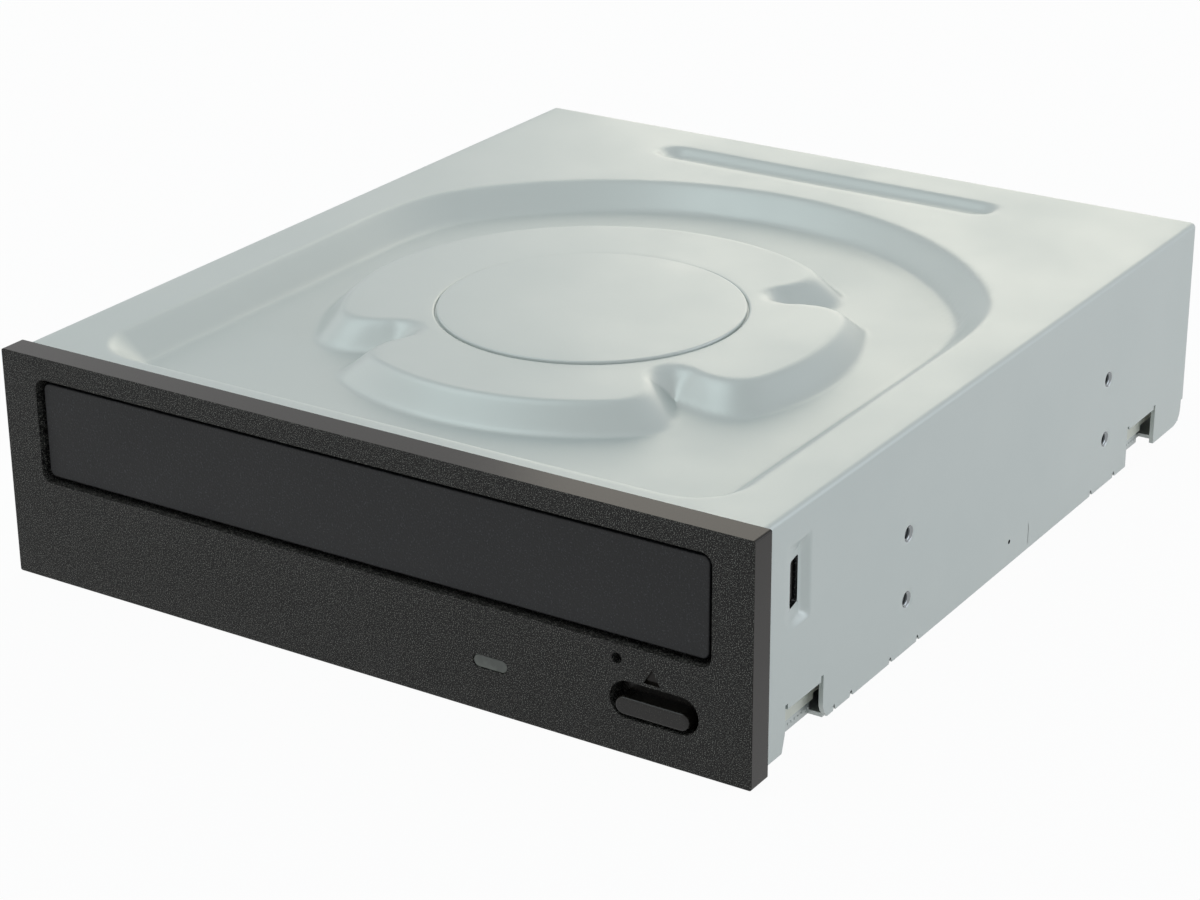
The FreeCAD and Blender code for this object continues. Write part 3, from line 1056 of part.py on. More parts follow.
# Pickup sled on its two rods, with the lens in its sprung holder.
def pickup():
    start = "front + pickup_start"
    end = "front + pickup_start + pickup_length"
    core = block("-pickup_half_width", "pickup_half_width", start, end, "pickup_low", "pickup_top")
    main_bearing = block("-(rod_x + 3)", "-(pickup_half_width - 1)", start, end, "rod_level - 2.4", "rod_level + 2.4")
    arm = block("pickup_half_width - 1", "rod_x + 3", "lens_y - 4", "lens_y + 4", "rod_level - 2.4", "rod_level + 2.4")
    nut = block("rod_x + 2", "screw_x + 1", "lens_y - 4", "lens_y + 4", "screw_level + lead_radius + 0.2", "rod_level + 2.4")
    bores = [rod("rod_radius + rod_clearance", "pickup_length + 2", f"{mirror}rod_x", f"{start} - 1", "rod_level", "y")
             for mirror in ("", "-")]
    well = block("-(holder_half_width + 1)", "holder_half_width + 1", "lens_y - holder_length / 2 - 1",
                 "lens_y + holder_length / 2 + 1", "pickup_top - 1.4", "pickup_top + 1")
    front_cut = rod("turntable_radius + 1.2", "20", "0", "spindle_y", "pickup_low - 1")
    node(less(join(core, main_bearing, arm, nut), *bores, well, front_cut), "pickup_body")
    low = "pickup_top - 1.4 + holder_gap"
    holder = block("-holder_half_width", "holder_half_width", "lens_y - holder_length / 2", "lens_y + holder_length / 2",
                   low, "lens_level - 1.1")
    seat = rod("lens_radius", "20", "0", "lens_y", "lens_level - 2.2")
    node(less(holder, seat), "lens_holder")
    lens = [
        ("0", "lens_level - 2.2"), ("lens_radius", "lens_level - 2.2"), ("lens_radius", "lens_level - 1.1"),
        ("lens_radius * 0.75", "lens_level - 0.45"), ("lens_radius * 0.4", "lens_level - 0.1"), ("0", "lens_level"),
    ]
    node(turned("objective_lens", lens, "0", "lens_y"), "objective_lens")


pickup()


# Main board under the traverse, with its chips, sockets and the connector at the back.
def main_board():
    plate = block("-board_half_width", "board_half_width", "front + board_start", "front + board_end", "board_low", "board_top")
    spots = [(f"{mirror}board_post_x", f"front + {y}") for mirror in ("", "-") for y in ("board_post_front", "board_post_rear")]
    holes = [rod("screw_radius", "10", x, y, "0") for x, y in spots]
    plug_bay = block("plug_x - plug_width / 2 - 0.2", "plug_x + plug_width / 2 + 0.2", "front + plug_start - 0.2", "back",
                     "board_low - 1", "board_top + 1")
    node(less(plate, *holes, plug_bay), "main_board")
    screws = [screw(x, y, "board_low", -1, "board_thick + 3") for x, y in spots]
    node(group(*screws), "board_screws")
    half = "processor_size / 2"
    y = "(front + 125)"
    node(block(f"-14 - {half}", f"-14 + {half}", f"{y} - {half}", f"{y} + {half}", "board_top", "board_top + processor_thick"),
         "main_processor")
    node(block("16", "16 + driver_length", f"{y}", f"{y} + driver_width", "board_low - driver_thick", "board_low"), "motor_driver")
    node(block("17", "15 + driver_length", f"{y} + 1", f"{y} + driver_width - 1", "panel_top", "board_low - driver_thick"),
         "thermal_pad")
    node(block("8", "8 + memory_length", f"{y} + 12", f"{y} + 12 + memory_width", "board_top", "board_top + 1.1"), "memory_chip")
    cans = [rod("capacitor_radius", "capacitor_height", f"-(board_half_width - capacitor_inset) - {index} * capacitor_pitch", "front + board_end - 5", "board_top")
            for index in range(3)]
    node(group(*cans), "board_capacitors")
    socket_reach = "(board_half_width - socket_inset)"
    sockets = [block(f"{x} - socket_length / 2", f"{x} + socket_length / 2", "front + board_start + 1",
                     "front + board_start + 5.5", "board_top", "board_top + 2")
               for x in (f"socket_length / 2 - {socket_reach}", "0", f"{socket_reach} - socket_length / 2")]
    node(group(*sockets), "flex_sockets")


main_board()


def sata_connector():
    low = "plug_low"
    shell = block("plug_x - plug_width / 2", "plug_x + plug_width / 2", "front + plug_start", "front + plug_end", low,
                  "plug_low + plug_height")
    cavity_low = "(plug_low + (plug_height - plug_cavity_height) / 2)"
    data_low = "(plug_x - plug_width / 2 + (plug_width - data_width - power_width - plug_rib) / 2)"
    power_low = f"({data_low} + data_width + plug_rib)"
    cavities = []
    tongues = []
    for start, width, end in ((data_low, "data_width", 1), (power_low, "power_width", 1)):
        cavities.append(block(start, f"{start} + {width}", "front + plug_end - plug_cavity_depth", "back + 1", cavity_low,
                              f"{cavity_low} + plug_cavity_height"))
        middle = f"({cavity_low} + plug_cavity_height / 2)"
        tongues.append(block(f"{start} + tongue_margin", f"{start} + {width} - tongue_margin",
                             "front + plug_end - plug_cavity_depth - 1", "front + plug_end - 0.8",
                             f"{middle} - tongue_thick / 2", f"{middle} + tongue_thick / 2"))
        tongues.append(block(f"{start} + {width} - tongue_margin - 1", f"{start} + {width} - tongue_margin",
                             "front + plug_end - plug_cavity_depth - 1", "front + plug_end - 0.8",
                             f"{middle} - 1.5", f"{middle}"))
    node(join(less(shell, *cavities), *tongues), "sata_connector")


sata_connector()


# Small board behind the front, with its switch and lamp.
def front_board():
    y_low = "front_board_y"
    y_high = "front_board_y + front_board_thick"
    plate = block("front_board_start", "front_board_end", y_low, y_high, "front_board_low", "front_board_top")
    spots = ["(front_board_start + 12)", "(front_board_end - 4)"]
    holes = [rod("screw_radius", "10", x, f"{y_low} - 5", "deck_low - 2", "y") for x in spots]
    node(less(plate, *holes), "front_board")
    screws = [join(rod("screw_head", "screw_head_thick", x, f"{y_low} - screw_head_thick", "deck_low - 2", "y"),
                   rod("screw_radius", "front_board_thick + 3", x, y_low, "deck_low - 2", "y")) for x in spots]
    node(group(*screws), "front_board_screws")
    half = "switch_size / 2"
    level = "(button_level - button_opening_height / 2 + button_height / 2 + button_gap)"
    base = block(f"button_x - 1.3 - {half}", f"button_x - 1.3 + {half}", "switch_front", y_low, f"{level} - {half}", f"{level} + {half}")
    bore = rod("plunger_radius + 0.06", "2.7", "button_x - 1.3", "switch_front", level, "y")
    node(less(base, bore), "eject_switch")
    node(rod("plunger_radius", "button_travel + 1.5", "button_x - 1.3", "switch_front - button_travel", level, "y"), "switch_plunger")
    node(block("led_x - 1.6", "led_x + 1.6", f"{y_low} - 1.4", y_low, "led_level - 0.8", "led_level + 0.8"), "status_led")
    node(pill("led_width", "led_height", "front_board_setback - 1.7", "led_x", "(front + 0.15)", "led_level"), "led_window")
    node(block("front_board_start + 8", "front_board_start + 20", y_high, f"{y_high} + 0.3", "plate_top + 0.1", "front_board_low + 4"),
         "front_flex")


front_board()


# Eject button: a low pill on a broader plate inside its well.
def eject_button():
    level = "(button_level - button_opening_height / 2 + button_height / 2 + button_gap)"
    x = "(button_x - (button_opening - button_width) / 2 + button_gap * 2)"
    cap = pill("button_width", "button_height", "button_step + 0.6", x, "(front - 0.0)", level)
    plate = pill("button_opening - button_gap * 2", "button_opening_height - button_gap * 2", "1.2", "button_x",
                 "(front + button_step)", "button_level")
    stem = rod("plunger_radius - 0.4", "switch_front - button_travel - front - button_step - 0.5", "button_x - 1.3",
               "front + button_step + 0.5", level, "y")
    node(join(cap, plate, stem), "eject_button")


eject_button()

doc.recompute()
bad = [thing.Label for thing in doc.Objects if {"Invalid", "Error"} & set(thing.State)]
if bad:
    raise RuntimeError("failed objects: " + ", ".join(bad))
for thing in nodes:
    shape = thing.Shape
    if shape.isNull() or not shape.isValid() or not shape.Solids:
        raise RuntimeError("bad shape: " + thing.Label)
    shape.exportStep(f"parts/{thing.Label}.step")
    print(f"{thing.Label}: {len(shape.Solids)} solids, {shape.Volume:.1f} mm3")
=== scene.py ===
import json
import math
import bpy
import bmesh
from mathutils import Matrix, Vector


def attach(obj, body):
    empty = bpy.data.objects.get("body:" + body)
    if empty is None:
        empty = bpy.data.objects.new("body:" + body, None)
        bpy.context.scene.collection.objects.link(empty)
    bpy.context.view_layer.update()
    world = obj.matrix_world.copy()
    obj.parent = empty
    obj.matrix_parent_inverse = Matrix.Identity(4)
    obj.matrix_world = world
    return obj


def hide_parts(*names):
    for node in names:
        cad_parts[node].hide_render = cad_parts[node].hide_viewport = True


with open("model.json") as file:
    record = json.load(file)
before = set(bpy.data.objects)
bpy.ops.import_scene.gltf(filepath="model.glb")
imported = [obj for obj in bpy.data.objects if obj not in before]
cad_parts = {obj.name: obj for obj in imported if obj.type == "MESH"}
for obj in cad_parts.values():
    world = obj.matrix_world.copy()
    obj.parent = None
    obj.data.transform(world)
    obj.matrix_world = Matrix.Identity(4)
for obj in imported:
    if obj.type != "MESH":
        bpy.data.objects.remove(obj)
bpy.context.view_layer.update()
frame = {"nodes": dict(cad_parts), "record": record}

mm = 0.001
print("frame loaded")

# The camera stands where the photograph's lines meet when the case has its standard size
photoCamera = {
    "place": (0.271117, -0.432840, 0.227239),
    "right": (0.84219, 0.53915, -0.00576),
    "down": (0.20759, -0.33409, -0.91940),
    "lens": 90.37,
    "sensor": 36.0,
    "nearest": 0.01,
}


def addCamera():
    right = Vector(photoCamera["right"]).normalized()
    up = -Vector(photoCamera["down"]).normalized()
    back = right.cross(up).normalized()
    up = back.cross(right).normalized()
    data = bpy.data.cameras.new("photoCamera")
    data.lens = photoCamera["lens"]
    data.sensor_width = photoCamera["sensor"]
    data.clip_start = photoCamera["nearest"]
    camera = bpy.data.objects.new("photoCamera", data)
    bpy.context.collection.objects.link(camera)
    turn = Matrix((right, up, back)).transposed().to_4x4()
    camera.matrix_world = Matrix.Translation(photoCamera["place"]) @ turn
    bpy.context.scene.camera = camera


addCamera()


def freshTree(owner):
    owner.use_nodes = True
    tree = owner.node_tree
    tree.nodes.clear()
    return tree.nodes, tree.links


surround = {"seen": 1.0, "tint": (0.76, 0.92, 1.0, 1), "strength": 0.35}


def seenDirectly(nodes, links):
    # One for rays from the camera, from gloss and through clear parts, zero for the rest
    path = nodes.new("ShaderNodeLightPath")
    first = nodes.new("ShaderNodeMath")
    first.operation = "MAXIMUM"
    links.new(path.outputs["Is Camera Ray"], first.inputs[0])
    links.new(path.outputs["Is Glossy Ray"], first.inputs[1])
    second = nodes.new("ShaderNodeMath")
    second.operation = "MAXIMUM"
    links.new(first.outputs[0], second.inputs[0])
    links.new(path.outputs["Is Transmission Ray"], second.inputs[1])
    return second.outputs[0]


def whiteSurround():
    # White to the camera, in gloss and through clear parts; soft and cooler as light on the object
    world = bpy.data.worlds.new("studio")
    bpy.context.scene.world = world
    nodes, links = freshTree(world)
    out = nodes.new("ShaderNodeOutputWorld")
    seen = nodes.new("ShaderNodeBackground")
    seen.inputs["Color"].default_value = (1, 1, 1, 1)
    seen.inputs["Strength"].default_value = surround["seen"]
    soft = nodes.new("ShaderNodeBackground")
    soft.inputs["Color"].default_value = surround["tint"]
    soft.inputs["Strength"].default_value = surround["strength"]
    mix = nodes.new("ShaderNodeMixShader")
    links.new(seenDirectly(nodes, links), mix.inputs["Fac"])
    links.new(soft.outputs["Background"], mix.inputs[1])
    links.new(seen.outputs["Background"], mix.inputs[2])
    links.new(mix.outputs["Shader"], out.inputs["Surface"])


whiteSurround()


def newObject(name, form, paints, smooth=True):
    # Turns a bmesh into an object at the origin
    mesh = bpy.data.meshes.new(name)
    form.to_mesh(mesh)
    form.free()
    piece = bpy.data.objects.new(name, mesh)
    bpy.context.collection.objects.link(piece)
    for paint in paints:
        mesh.materials.append(paint)
    if smooth:
        for face in mesh.polygons:
            face.use_smooth = True
    return piece


floorLook = {"size": 3.0, "drop": 0.0002, "whiteShare": 0.96, "grey": 0.85, "roughness": 0.9}


def addFloor():
    form = bmesh.new()
    bmesh.ops.create_grid(form, x_segments=1, y_segments=1, size=floorLook["size"])
    bmesh.ops.translate(form, verts=form.verts, vec=(0, 0, -floorLook["drop"]))
    paint = bpy.data.materials.new("floorWhite")
    nodes, links = freshTree(paint)
    out = nodes.new("ShaderNodeOutputMaterial")
    skin = nodes.new("ShaderNodeBsdfPrincipled")
    skin.inputs["Base Color"].default_value = (*[floorLook["grey"]] * 3, 1)
    skin.inputs["Roughness"].default_value = floorLook["roughness"]
    glow = nodes.new("ShaderNodeEmission")
    share = nodes.new("ShaderNodeMath")
    share.operation = "MULTIPLY"
    share.inputs[1].default_value = floorLook["whiteShare"]
    mix = nodes.new("ShaderNodeMixShader")
    links.new(seenDirectly(nodes, links), share.inputs[0])
    links.new(share.outputs[0], mix.inputs["Fac"])
    links.new(skin.outputs["BSDF"], mix.inputs[1])
    links.new(glow.outputs["Emission"], mix.inputs[2])
    links.new(mix.outputs["Shader"], out.inputs["Surface"])
    newObject("floor", form, [paint])


addFloor()

lamps = {
    "behind": {"place": (-0.27, 1.0, 0.38), "height": 0.03, "size": 0.7, "power": 1.85,
               "tint": (1.0, 0.92, 0.76)},
    "front": {"place": (-0.45, -0.3, 1.05), "height": 0.02, "size": 0.7, "power": 2.3,
              "tint": (0.84, 0.97, 1.0)},
    "right": {"place": (0.98, 0.55, 0.25), "height": 0.02, "size": 0.8, "power": 3.1,
              "tint": (0.84, 0.9, 1.0)},
    "left": {"place": (-1.1, 0.0, 0.5), "height": 0.03, "size": 0.7, "power": 0.9, "tint": (1.0, 1.0, 1.0)},
}


def addLamps():
    # Square lamps, each aimed at the drive's axis at its own height
    for name, lamp in lamps.items():
        data = bpy.data.lights.new(name, "AREA")
        data.shape = "SQUARE"
        data.size = lamp["size"]
        data.energy = lamp["power"]
        data.color = lamp["tint"]
        light = bpy.data.objects.new(name, data)
        bpy.context.collection.objects.link(light)
        place = Vector(lamp["place"])
        turn = (Vector((0, 0, lamp["height"])) - place).to_track_quat("-Z", "Y").to_matrix().to_4x4()
        light.matrix_world = Matrix.Translation(place) @ turn


addLamps()
bpy.context.scene.view_settings.view_transform = "Standard"
print("camera, floor and light set")


# Materials. Patterns read Object coordinates, which are metres in the drive's own frame.
def rgb(code):
    # A screen colour as the shader's linear one
    parts = [int(code[place:place + 2], 16) / 255 for place in (1, 3, 5)]
    linear = [part / 12.92 if part <= 0.04045 else ((part + 0.055) / 1.055) ** 2.4 for part in parts]
    return (*linear, 1)


# How the patterns spread: the detail of each noise and the part of its range that is used
patternLook = {
    "patchDetail": 3.0, "patchRange": (0.35, 0.65),
    "glossScale": 2.3, "glossDetail": 4.0, "glossFineness": 0.6, "glossRange": (0.3, 0.7),
    "speckDetail": 1.0, "speckMiddle": 0.5,
}


def mottled(name, colour, other, metallic=0.0, roughness=0.5, rough=None, patch=40.0, patchShare=0.3,
            grain=2500.0, grainDepth=0.0, speck=None, marked=None, specular=0.5, coat=0.0):
    # One finish: a base colour with slow patches, a grain in the surface and, on the front parts, lighter
    # specks, which on the front moulding are painted glints
    paint = bpy.data.materials.new(name)
    nodes, links = freshTree(paint)
    out = nodes.new("ShaderNodeOutputMaterial")
    skin = nodes.new("ShaderNodeBsdfPrincipled")
    links.new(skin.outputs["BSDF"], out.inputs["Surface"])
    skin.inputs["Metallic"].default_value = metallic
    skin.inputs["Roughness"].default_value = roughness
    skin.inputs["Specular IOR Level"].default_value = specular
    skin.inputs["Coat Weight"].default_value = coat
    spot = nodes.new("ShaderNodeTexCoord")

    def noise(scale, detail=2.0, fineness=0.5):
        cloud = nodes.new("ShaderNodeTexNoise")
        cloud.inputs["Scale"].default_value = scale
        cloud.inputs["Detail"].default_value = detail
        cloud.inputs["Roughness"].default_value = fineness
        links.new(spot.outputs["Object"], cloud.inputs["Vector"])
        return cloud.outputs["Fac"]

    def ranged(source, low, high, first=0.0, last=1.0):
        ramp = nodes.new("ShaderNodeMapRange")
        for socket, value in zip(("From Min", "From Max", "To Min", "To Max"), (low, high, first, last)):
            ramp.inputs[socket].default_value = value
        links.new(source, ramp.inputs["Value"])
        return ramp.outputs["Result"]

    def blended(share, first, second):
        mix = nodes.new("ShaderNodeMix")
        mix.data_type = "RGBA"
        links.new(share, mix.inputs["Factor"])
        for socket, value in (("A", first), ("B", second)):
            entry = next(entry for entry in mix.inputs if entry.name == socket and entry.type == "RGBA")
            if isinstance(value, tuple):
                entry.default_value = value
            else:
                links.new(value, entry)
        return next(entry for entry in mix.outputs if entry.type == "RGBA")

    patches = ranged(noise(patch, patternLook["patchDetail"]), *patternLook["patchRange"], 0.0, patchShare)
    colourNow = blended(patches, colour, other)
    if speck:
        # Small lighter specks, on the front moulding painted glints of its grain: their size, their share of
        # the surface and their colour
        middle = patternLook["speckMiddle"]
        speckNoise = noise(speck["scale"], patternLook["speckDetail"])
        specks = ranged(speckNoise, middle + speck["start"], middle + speck["full"])
        colourNow = blended(specks, colourNow, speck["colour"])
    if marked:
        # Marked faces have their own colour, gloss and metal, and no grain
        mark = nodes.new("ShaderNodeAttribute")
        mark.attribute_name = "marked"
        share = mark.outputs["Fac"]
        colourNow = blended(share, colourNow, marked["colour"])

    def towards(plain, special):
        # The plain value on unmarked faces, the special one on marked faces
        mix = nodes.new("ShaderNodeMix")
        links.new(share, mix.inputs["Factor"])
        mix.inputs["B"].default_value = special
        if isinstance(plain, float):
            mix.inputs["A"].default_value = plain
        else:
            links.new(plain, mix.inputs["A"])
        return mix.outputs["Result"]

    links.new(colourNow, skin.inputs["Base Color"])
    if rough:
        gloss = noise(patch * patternLook["glossScale"], patternLook["glossDetail"],
                      patternLook["glossFineness"])
        roughNow = ranged(gloss, *patternLook["glossRange"], *rough)
        if marked:
            roughNow = towards(roughNow, marked["roughness"])
        links.new(roughNow, skin.inputs["Roughness"])
    if marked and "metallic" in marked:
        links.new(towards(metallic, marked["metallic"]), skin.inputs["Metallic"])
    if grainDepth:
        bump = nodes.new("ShaderNodeBump")
        bump.inputs["Distance"].default_value = grainDepth
        bump.inputs["Strength"].default_value = 1.0
        if marked:
            links.new(towards(1.0, 0.0), bump.inputs["Strength"])
        links.new(noise(grain), bump.inputs["Height"])
        links.new(bump.outputs["Normal"], skin.inputs["Normal"])
    return paint


# The finishes as mottled's values: two colours, then what differs from its defaults.
# Grain depths are in metres.
finishValues = {
    "coverSteel": ("#CED2CE", "#C5CBC8", {
        "metallic": 0.3, "rough": (0.36, 0.46), "patch": 18, "grain": 900, "grainDepth": 6e-6,
        # Marked rims: darker glossy metal, bare steel and in part a painted shade of the holes and cut-outs
        "marked": {"colour": rgb("#8A8E90"), "roughness": 0.1, "metallic": 1.0}}),
    "baseSteel": ("#C9CDCA", "#BCC2C1", {
        "metallic": 0.4, "rough": (0.36, 0.48), "patch": 22, "grain": 900, "grainDepth": 6e-6}),
    "frontPlastic": ("#131211", "#191816", {
        "rough": (0.42, 0.5), "patch": 30, "grain": 3400, "grainDepth": 2e-4, "specular": 0.2,
        # The specks here are painted glints on the moulding's grain
        "speck": {"scale": 5600, "start": 0.065, "full": 0.15, "colour": rgb("#918B83")},
        "marked": {"colour": rgb("#211B16"), "roughness": 0.18}}),
    "doorPlastic": ("#1C1C1D", "#232324", {
        "rough": (0.4, 0.48), "patch": 30, "grain": 2900, "grainDepth": 7e-5, "specular": 0.3,
        "speck": {"scale": 3600, "start": 0.1, "full": 0.24, "colour": rgb("#3C3C3F")}}),
    "buttonPlastic": ("#161310", "#1C1916", {
        "rough": (0.26, 0.33), "patch": 60, "grain": 3000, "grainDepth": 2e-5, "specular": 0.35,
        "speck": {"scale": 4600, "start": 0.1, "full": 0.2, "colour": rgb("#45413A")}}),
    "creamPlastic": ("#F6F2E2", "#EFEAD9", {
        "rough": (0.42, 0.5), "patch": 30, "grain": 1500, "grainDepth": 1e-5}),
    "trayPlastic": ("#26272A", "#2E2F33", {
        "rough": (0.42, 0.5), "patch": 25, "grain": 2200, "grainDepth": 3e-5}),
    "gearPlastic": ("#E9E8E0", "#DDDCD2", {"rough": (0.3, 0.38), "patch": 60, "grainDepth": 8e-6}),
    "lampPlastic": ("#61615A", "#85847B", {"roughness": 0.25, "patch": 260, "patchShare": 0.9}),
    "brightSteel": ("#C9C9C6", "#B9BABA", {
        "metallic": 1.0, "rough": (0.2, 0.3), "patch": 120, "grain": 3000, "grainDepth": 4e-6}),
    "motorSteel": ("#BFC0BE", "#AEB0B0", {
        "metallic": 1.0, "rough": (0.3, 0.4), "patch": 60, "grainDepth": 6e-6}),
    "castMetal": ("#9A9B9D", "#8A8B8E", {
        "metallic": 1.0, "rough": (0.42, 0.52), "patch": 80, "grain": 1600, "grainDepth": 3e-5}),
    "greenBoard": ("#1F5A34", "#2A6C40", {
        "rough": (0.28, 0.36), "patch": 300, "patchShare": 0.6, "grain": 1500, "grainDepth": 2e-5,
        "coat": 0.3}),
    "chipBlack": ("#1E1E1F", "#262627", {
        "rough": (0.45, 0.55), "patch": 200, "grain": 3500, "grainDepth": 2e-5}),
    "beltRubber": ("#1B1B1B", "#222222", {"rough": (0.55, 0.65), "patch": 200, "grainDepth": 1e-5}),
    "softRubber": ("#4A4F57", "#565B63", {"rough": (0.6, 0.7), "patch": 200, "grainDepth": 1e-5}),
    "filmPlastic": ("#C9A35A", "#BB954E", {"roughness": 0.3, "patch": 120}),
    "lensGlass": ("#7FA0D8", "#8FB0E0", {"roughness": 0.05, "patch": 300, "coat": 0.5}),
    "canMetal": ("#B4B6B8", "#A6A8AB", {"metallic": 1.0, "rough": (0.25, 0.35), "patch": 200}),
    "goldContact": ("#D9B45A", "#C9A24A", {"metallic": 1.0, "roughness": 0.25, "patch": 300}),
}
finishes = {name: mottled(name, rgb(colour), rgb(other), **values)
            for name, (colour, other, values) in finishValues.items()}
slotFinish = {
    "coated_steel": "baseSteel", "front_plastic": "frontPlastic", "door_plastic": "doorPlastic",
    "button_plastic": "buttonPlastic", "cream_plastic": "creamPlastic", "tray_plastic": "trayPlastic",
    "gear_plastic": "gearPlastic", "lamp_plastic": "lampPlastic", "bright_steel": "brightSteel",
    "motor_steel": "motorSteel", "cast_metal": "castMetal", "board": "greenBoard", "chip": "chipBlack",
    "black_rubber": "beltRubber", "soft_rubber": "softRubber", "film": "filmPlastic", "lens": "lensGlass",
    "can": "canMetal",
}


def dressNodes():
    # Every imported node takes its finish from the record's slot for it
    for part in frame["record"]["subparts"]:
        node = frame["nodes"][part["node"]]
        paint = finishes[slotFinish[part["material_slot"]]]
        if not node.material_slots:
            node.data.materials.append(paint)
        for slot in node.material_slots:
            slot.material = paint


dressNodes()
bodies = frame["record"]["behaviour"]["bodies"]
bodyOf = {node: body for body, members in bodies.items() for node in members}
slotOf = {part["node"]: part["material_slot"] for part in frame["record"]["subparts"]}
print("finishes given")


copyLook = {"weld": 0.000002, "flat": math.radians(0.6), "sharp": math.radians(30)}


def mergedCopy(node):
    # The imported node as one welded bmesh, its flat faces made whole
    form = bmesh.new()
    form.from_mesh(frame["nodes"][node].data)
    bmesh.ops.remove_doubles(form, verts=form.verts, dist=copyLook["weld"])
    bmesh.ops.dissolve_limit(form, angle_limit=copyLook["flat"], verts=form.verts, edges=form.edges,
                             use_dissolve_boundaries=False, delimit={"NORMAL"})
    return form


def sharpen(form, angle=copyLook["sharp"]):
    # Smooth faces, with sharp edges where they turn by more than the angle
    for face in form.faces:
        face.smooth = True
    for edge in form.edges:
        edge.smooth = len(edge.link_faces) == 2 and edge.calc_face_angle(0.0) < angle


def markFaces(form, test):
    # Writes which faces are marked into an attribute that the finish reads
    layer = form.faces.layers.float.new("marked")
    for face in form.faces:
        face[layer] = 1.0 if test(face.calc_center_median() / mm, face.normal) else 0.0


def stands(piece, node):
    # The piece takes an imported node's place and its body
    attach(piece, bodyOf[node])
    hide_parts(node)
    return piece


def easeEdges(piece, width, segments=2, limit="ANGLE"):
    ease = piece.modifiers.new("ease", "BEVEL")
    ease.width = width
    ease.segments = segments
    ease.limit_method = limit
    ease.angle_limit = copyLook["sharp"]
    ease.harden_normals = True
    ease.use_clamp_overlap = True


def softCopy(node, name, paint, width):
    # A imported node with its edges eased, as moulding or deburring leaves them
    form = mergedCopy(node)
    sharpen(form)
    piece = newObject(name, form, [paint], smooth=False)
    easeEdges(piece, width)
    stands(piece, node)


# Top cover. All its sizes are in millimetres, its angles in degrees.
cover = {
    "side": 73.025, "front": -80.0, "back": 85.0, "top": 41.4, "sheet": 0.8, "bend": 1.0, "bendSteps": 5,
    "crease": 50,
    # The round recess, its walls, the plateau in it and the dents in the plateau's edge
    "spindle": -14.0, "recessHalf": 62.8, "recessFront": -76.5, "recessCorner": 10.0,
    "arcCentre": -10.8, "arcRadius": 68.8, "depth": 4.5, "wallRun": 5.5, "wallSoft": 0.5, "elbow": 5.0,
    "plateau": 44.2, "plateauRun": 4.5, "plateauSoft": 0.5,
    "dents": (41.5, 229.5, 325.0), "dentTip": 31.6, "dentHalf": 4.6, "dentSpread": 0.42, "dentRound": 6.5,
    "dentFar": 12.0,
    # The groove near the back
    "grooveHalf": 33.6, "grooveY": 70.9, "grooveRadius": 3.9, "grooveDepth": 1.6, "grooveRun": 2.3,
    "grooveSoft": 0.4,
    # The half-sheared disc in the middle: radii and rises of its rings, counted from its rim and its top
    "disc": 27.5, "discRise": 0.33,
    "rimRings": ((0.75, 0.0), (0.5, -0.02), (0.3, -0.14), (0.18, -0.42), (-0.02, -0.42)),
    "discRings": ((-0.05, -0.2), (-0.12, -0.07), (-0.28, -0.01), (-0.5, 0.0)), "discShares": (0.75, 0.4),
    # Mesh spacing: the rings round the disc, the rows along the cover and the levels of its walls
    "polarEdge": 51.6, "polarGap": 0.6, "gridGap": 0.3, "joinReach": 2.5, "polarSteps": 288,
    "ringSpans": ((43.2, 0.6), (34.0, 0.95), (28.25, 1.6)),
    "fineCell": 0.64, "cell": 1.3, "wideCell": 1.9, "pocketCell": 0.34, "arcCell": 0.95, "middleCell": 1.5,
    "wallOut": 1.5, "wallIn": 6.0, "frontRun": 1.8, "pocketRest": 1.2, "arcStart": 26.0, "arcEnd": 60.0,
    "grooveRows": (66.4, 75.4),
    "levels": (2.4, 9.0, 13.0, 20.4, 22.9, 33.9, 36.4),
    "levelSpans": ((20.4, 22.9, 0.64), (33.9, 36.4, 0.64), (22.9, 33.9, 1.6), (1.0, 9.0, 0.95),
                   (9.0, 20.4, 1.9), (36.4, 41.0, 2.0)),
    # The side walls: threaded holes, cut-outs, nicks, slanting ends beside the front notch, a rounded tail
    "skirtLow": 1.0, "rearLow": 5.5, "holeRadius": 1.25, "holeSteps": 28, "holeRim": 0.4,
    "holes": ((-32.6, 10.45), (-32.6, 22.29), (46.65, 10.45), (46.65, 22.29)),
    "mouth": ((0.2, 0.06), (0.05, 0.2)), "turns": 8, "threadIn": 0.25, "threadStart": 0.3, "threadStep": 0.25,
    "threadLean": 0.13,
    "notches": ({"start": -72.9, "end": -60.7, "top": 8.0}, {"start": 57.3, "end": 70.4, "top": 8.3}),
    "notchRound": 0.8, "notchOver": 0.9,
    "nicks": (-57.0, -51.2, -37.7, -28.0, 41.6, 51.8), "nickHalf": 0.55, "nickRise": 1.1,
    "leanAhead": 0.9, "leanAheadTop": 4.0, "leanBack": 1.4, "leanBackTop": 3.5, "leanReach": 4.0,
    "leanCurve": 1.6, "tailEnd": 83.4, "tailRound": 3.0,
    "pocketStart": -73.4, "pocketDeep": -67.5, "pocketEnd": -65.8, "pocketLow": 21.9, "pocketHigh": 35.4,
    "pocketDepth": 1.05, "pocketSlope": 1.6, "pocketRound": 0.1,
    "window": {"y": -70.05, "z": 28.8, "halfWide": 1.75, "halfTall": 4.0, "round": 0.6},
    "dot": {"y": 6.6, "z": 5.4, "halfWide": 0.4, "halfTall": 0.4, "round": 0.4},
    "slit": {"y": 14.5, "z": 3.9, "halfWide": 0.09, "halfTall": 1.9, "round": 0.09},
    "holeClear": 1.4, "windowClear": 0.9, "dotClear": 0.8, "slitClear": 0.5, "clearShare": 0.55,
    "fillReach": 2.6, "fillLow": 0.9, "wallDeep": 1.5,
    "markDeep": 4.0, "markEdge": 0.03, "markRim": 0.25, "markGap": 0.05,
}
# How near two places on the cover count as one, from exact to loose
tiny = 0.001
small = 0.01
slack = 0.05


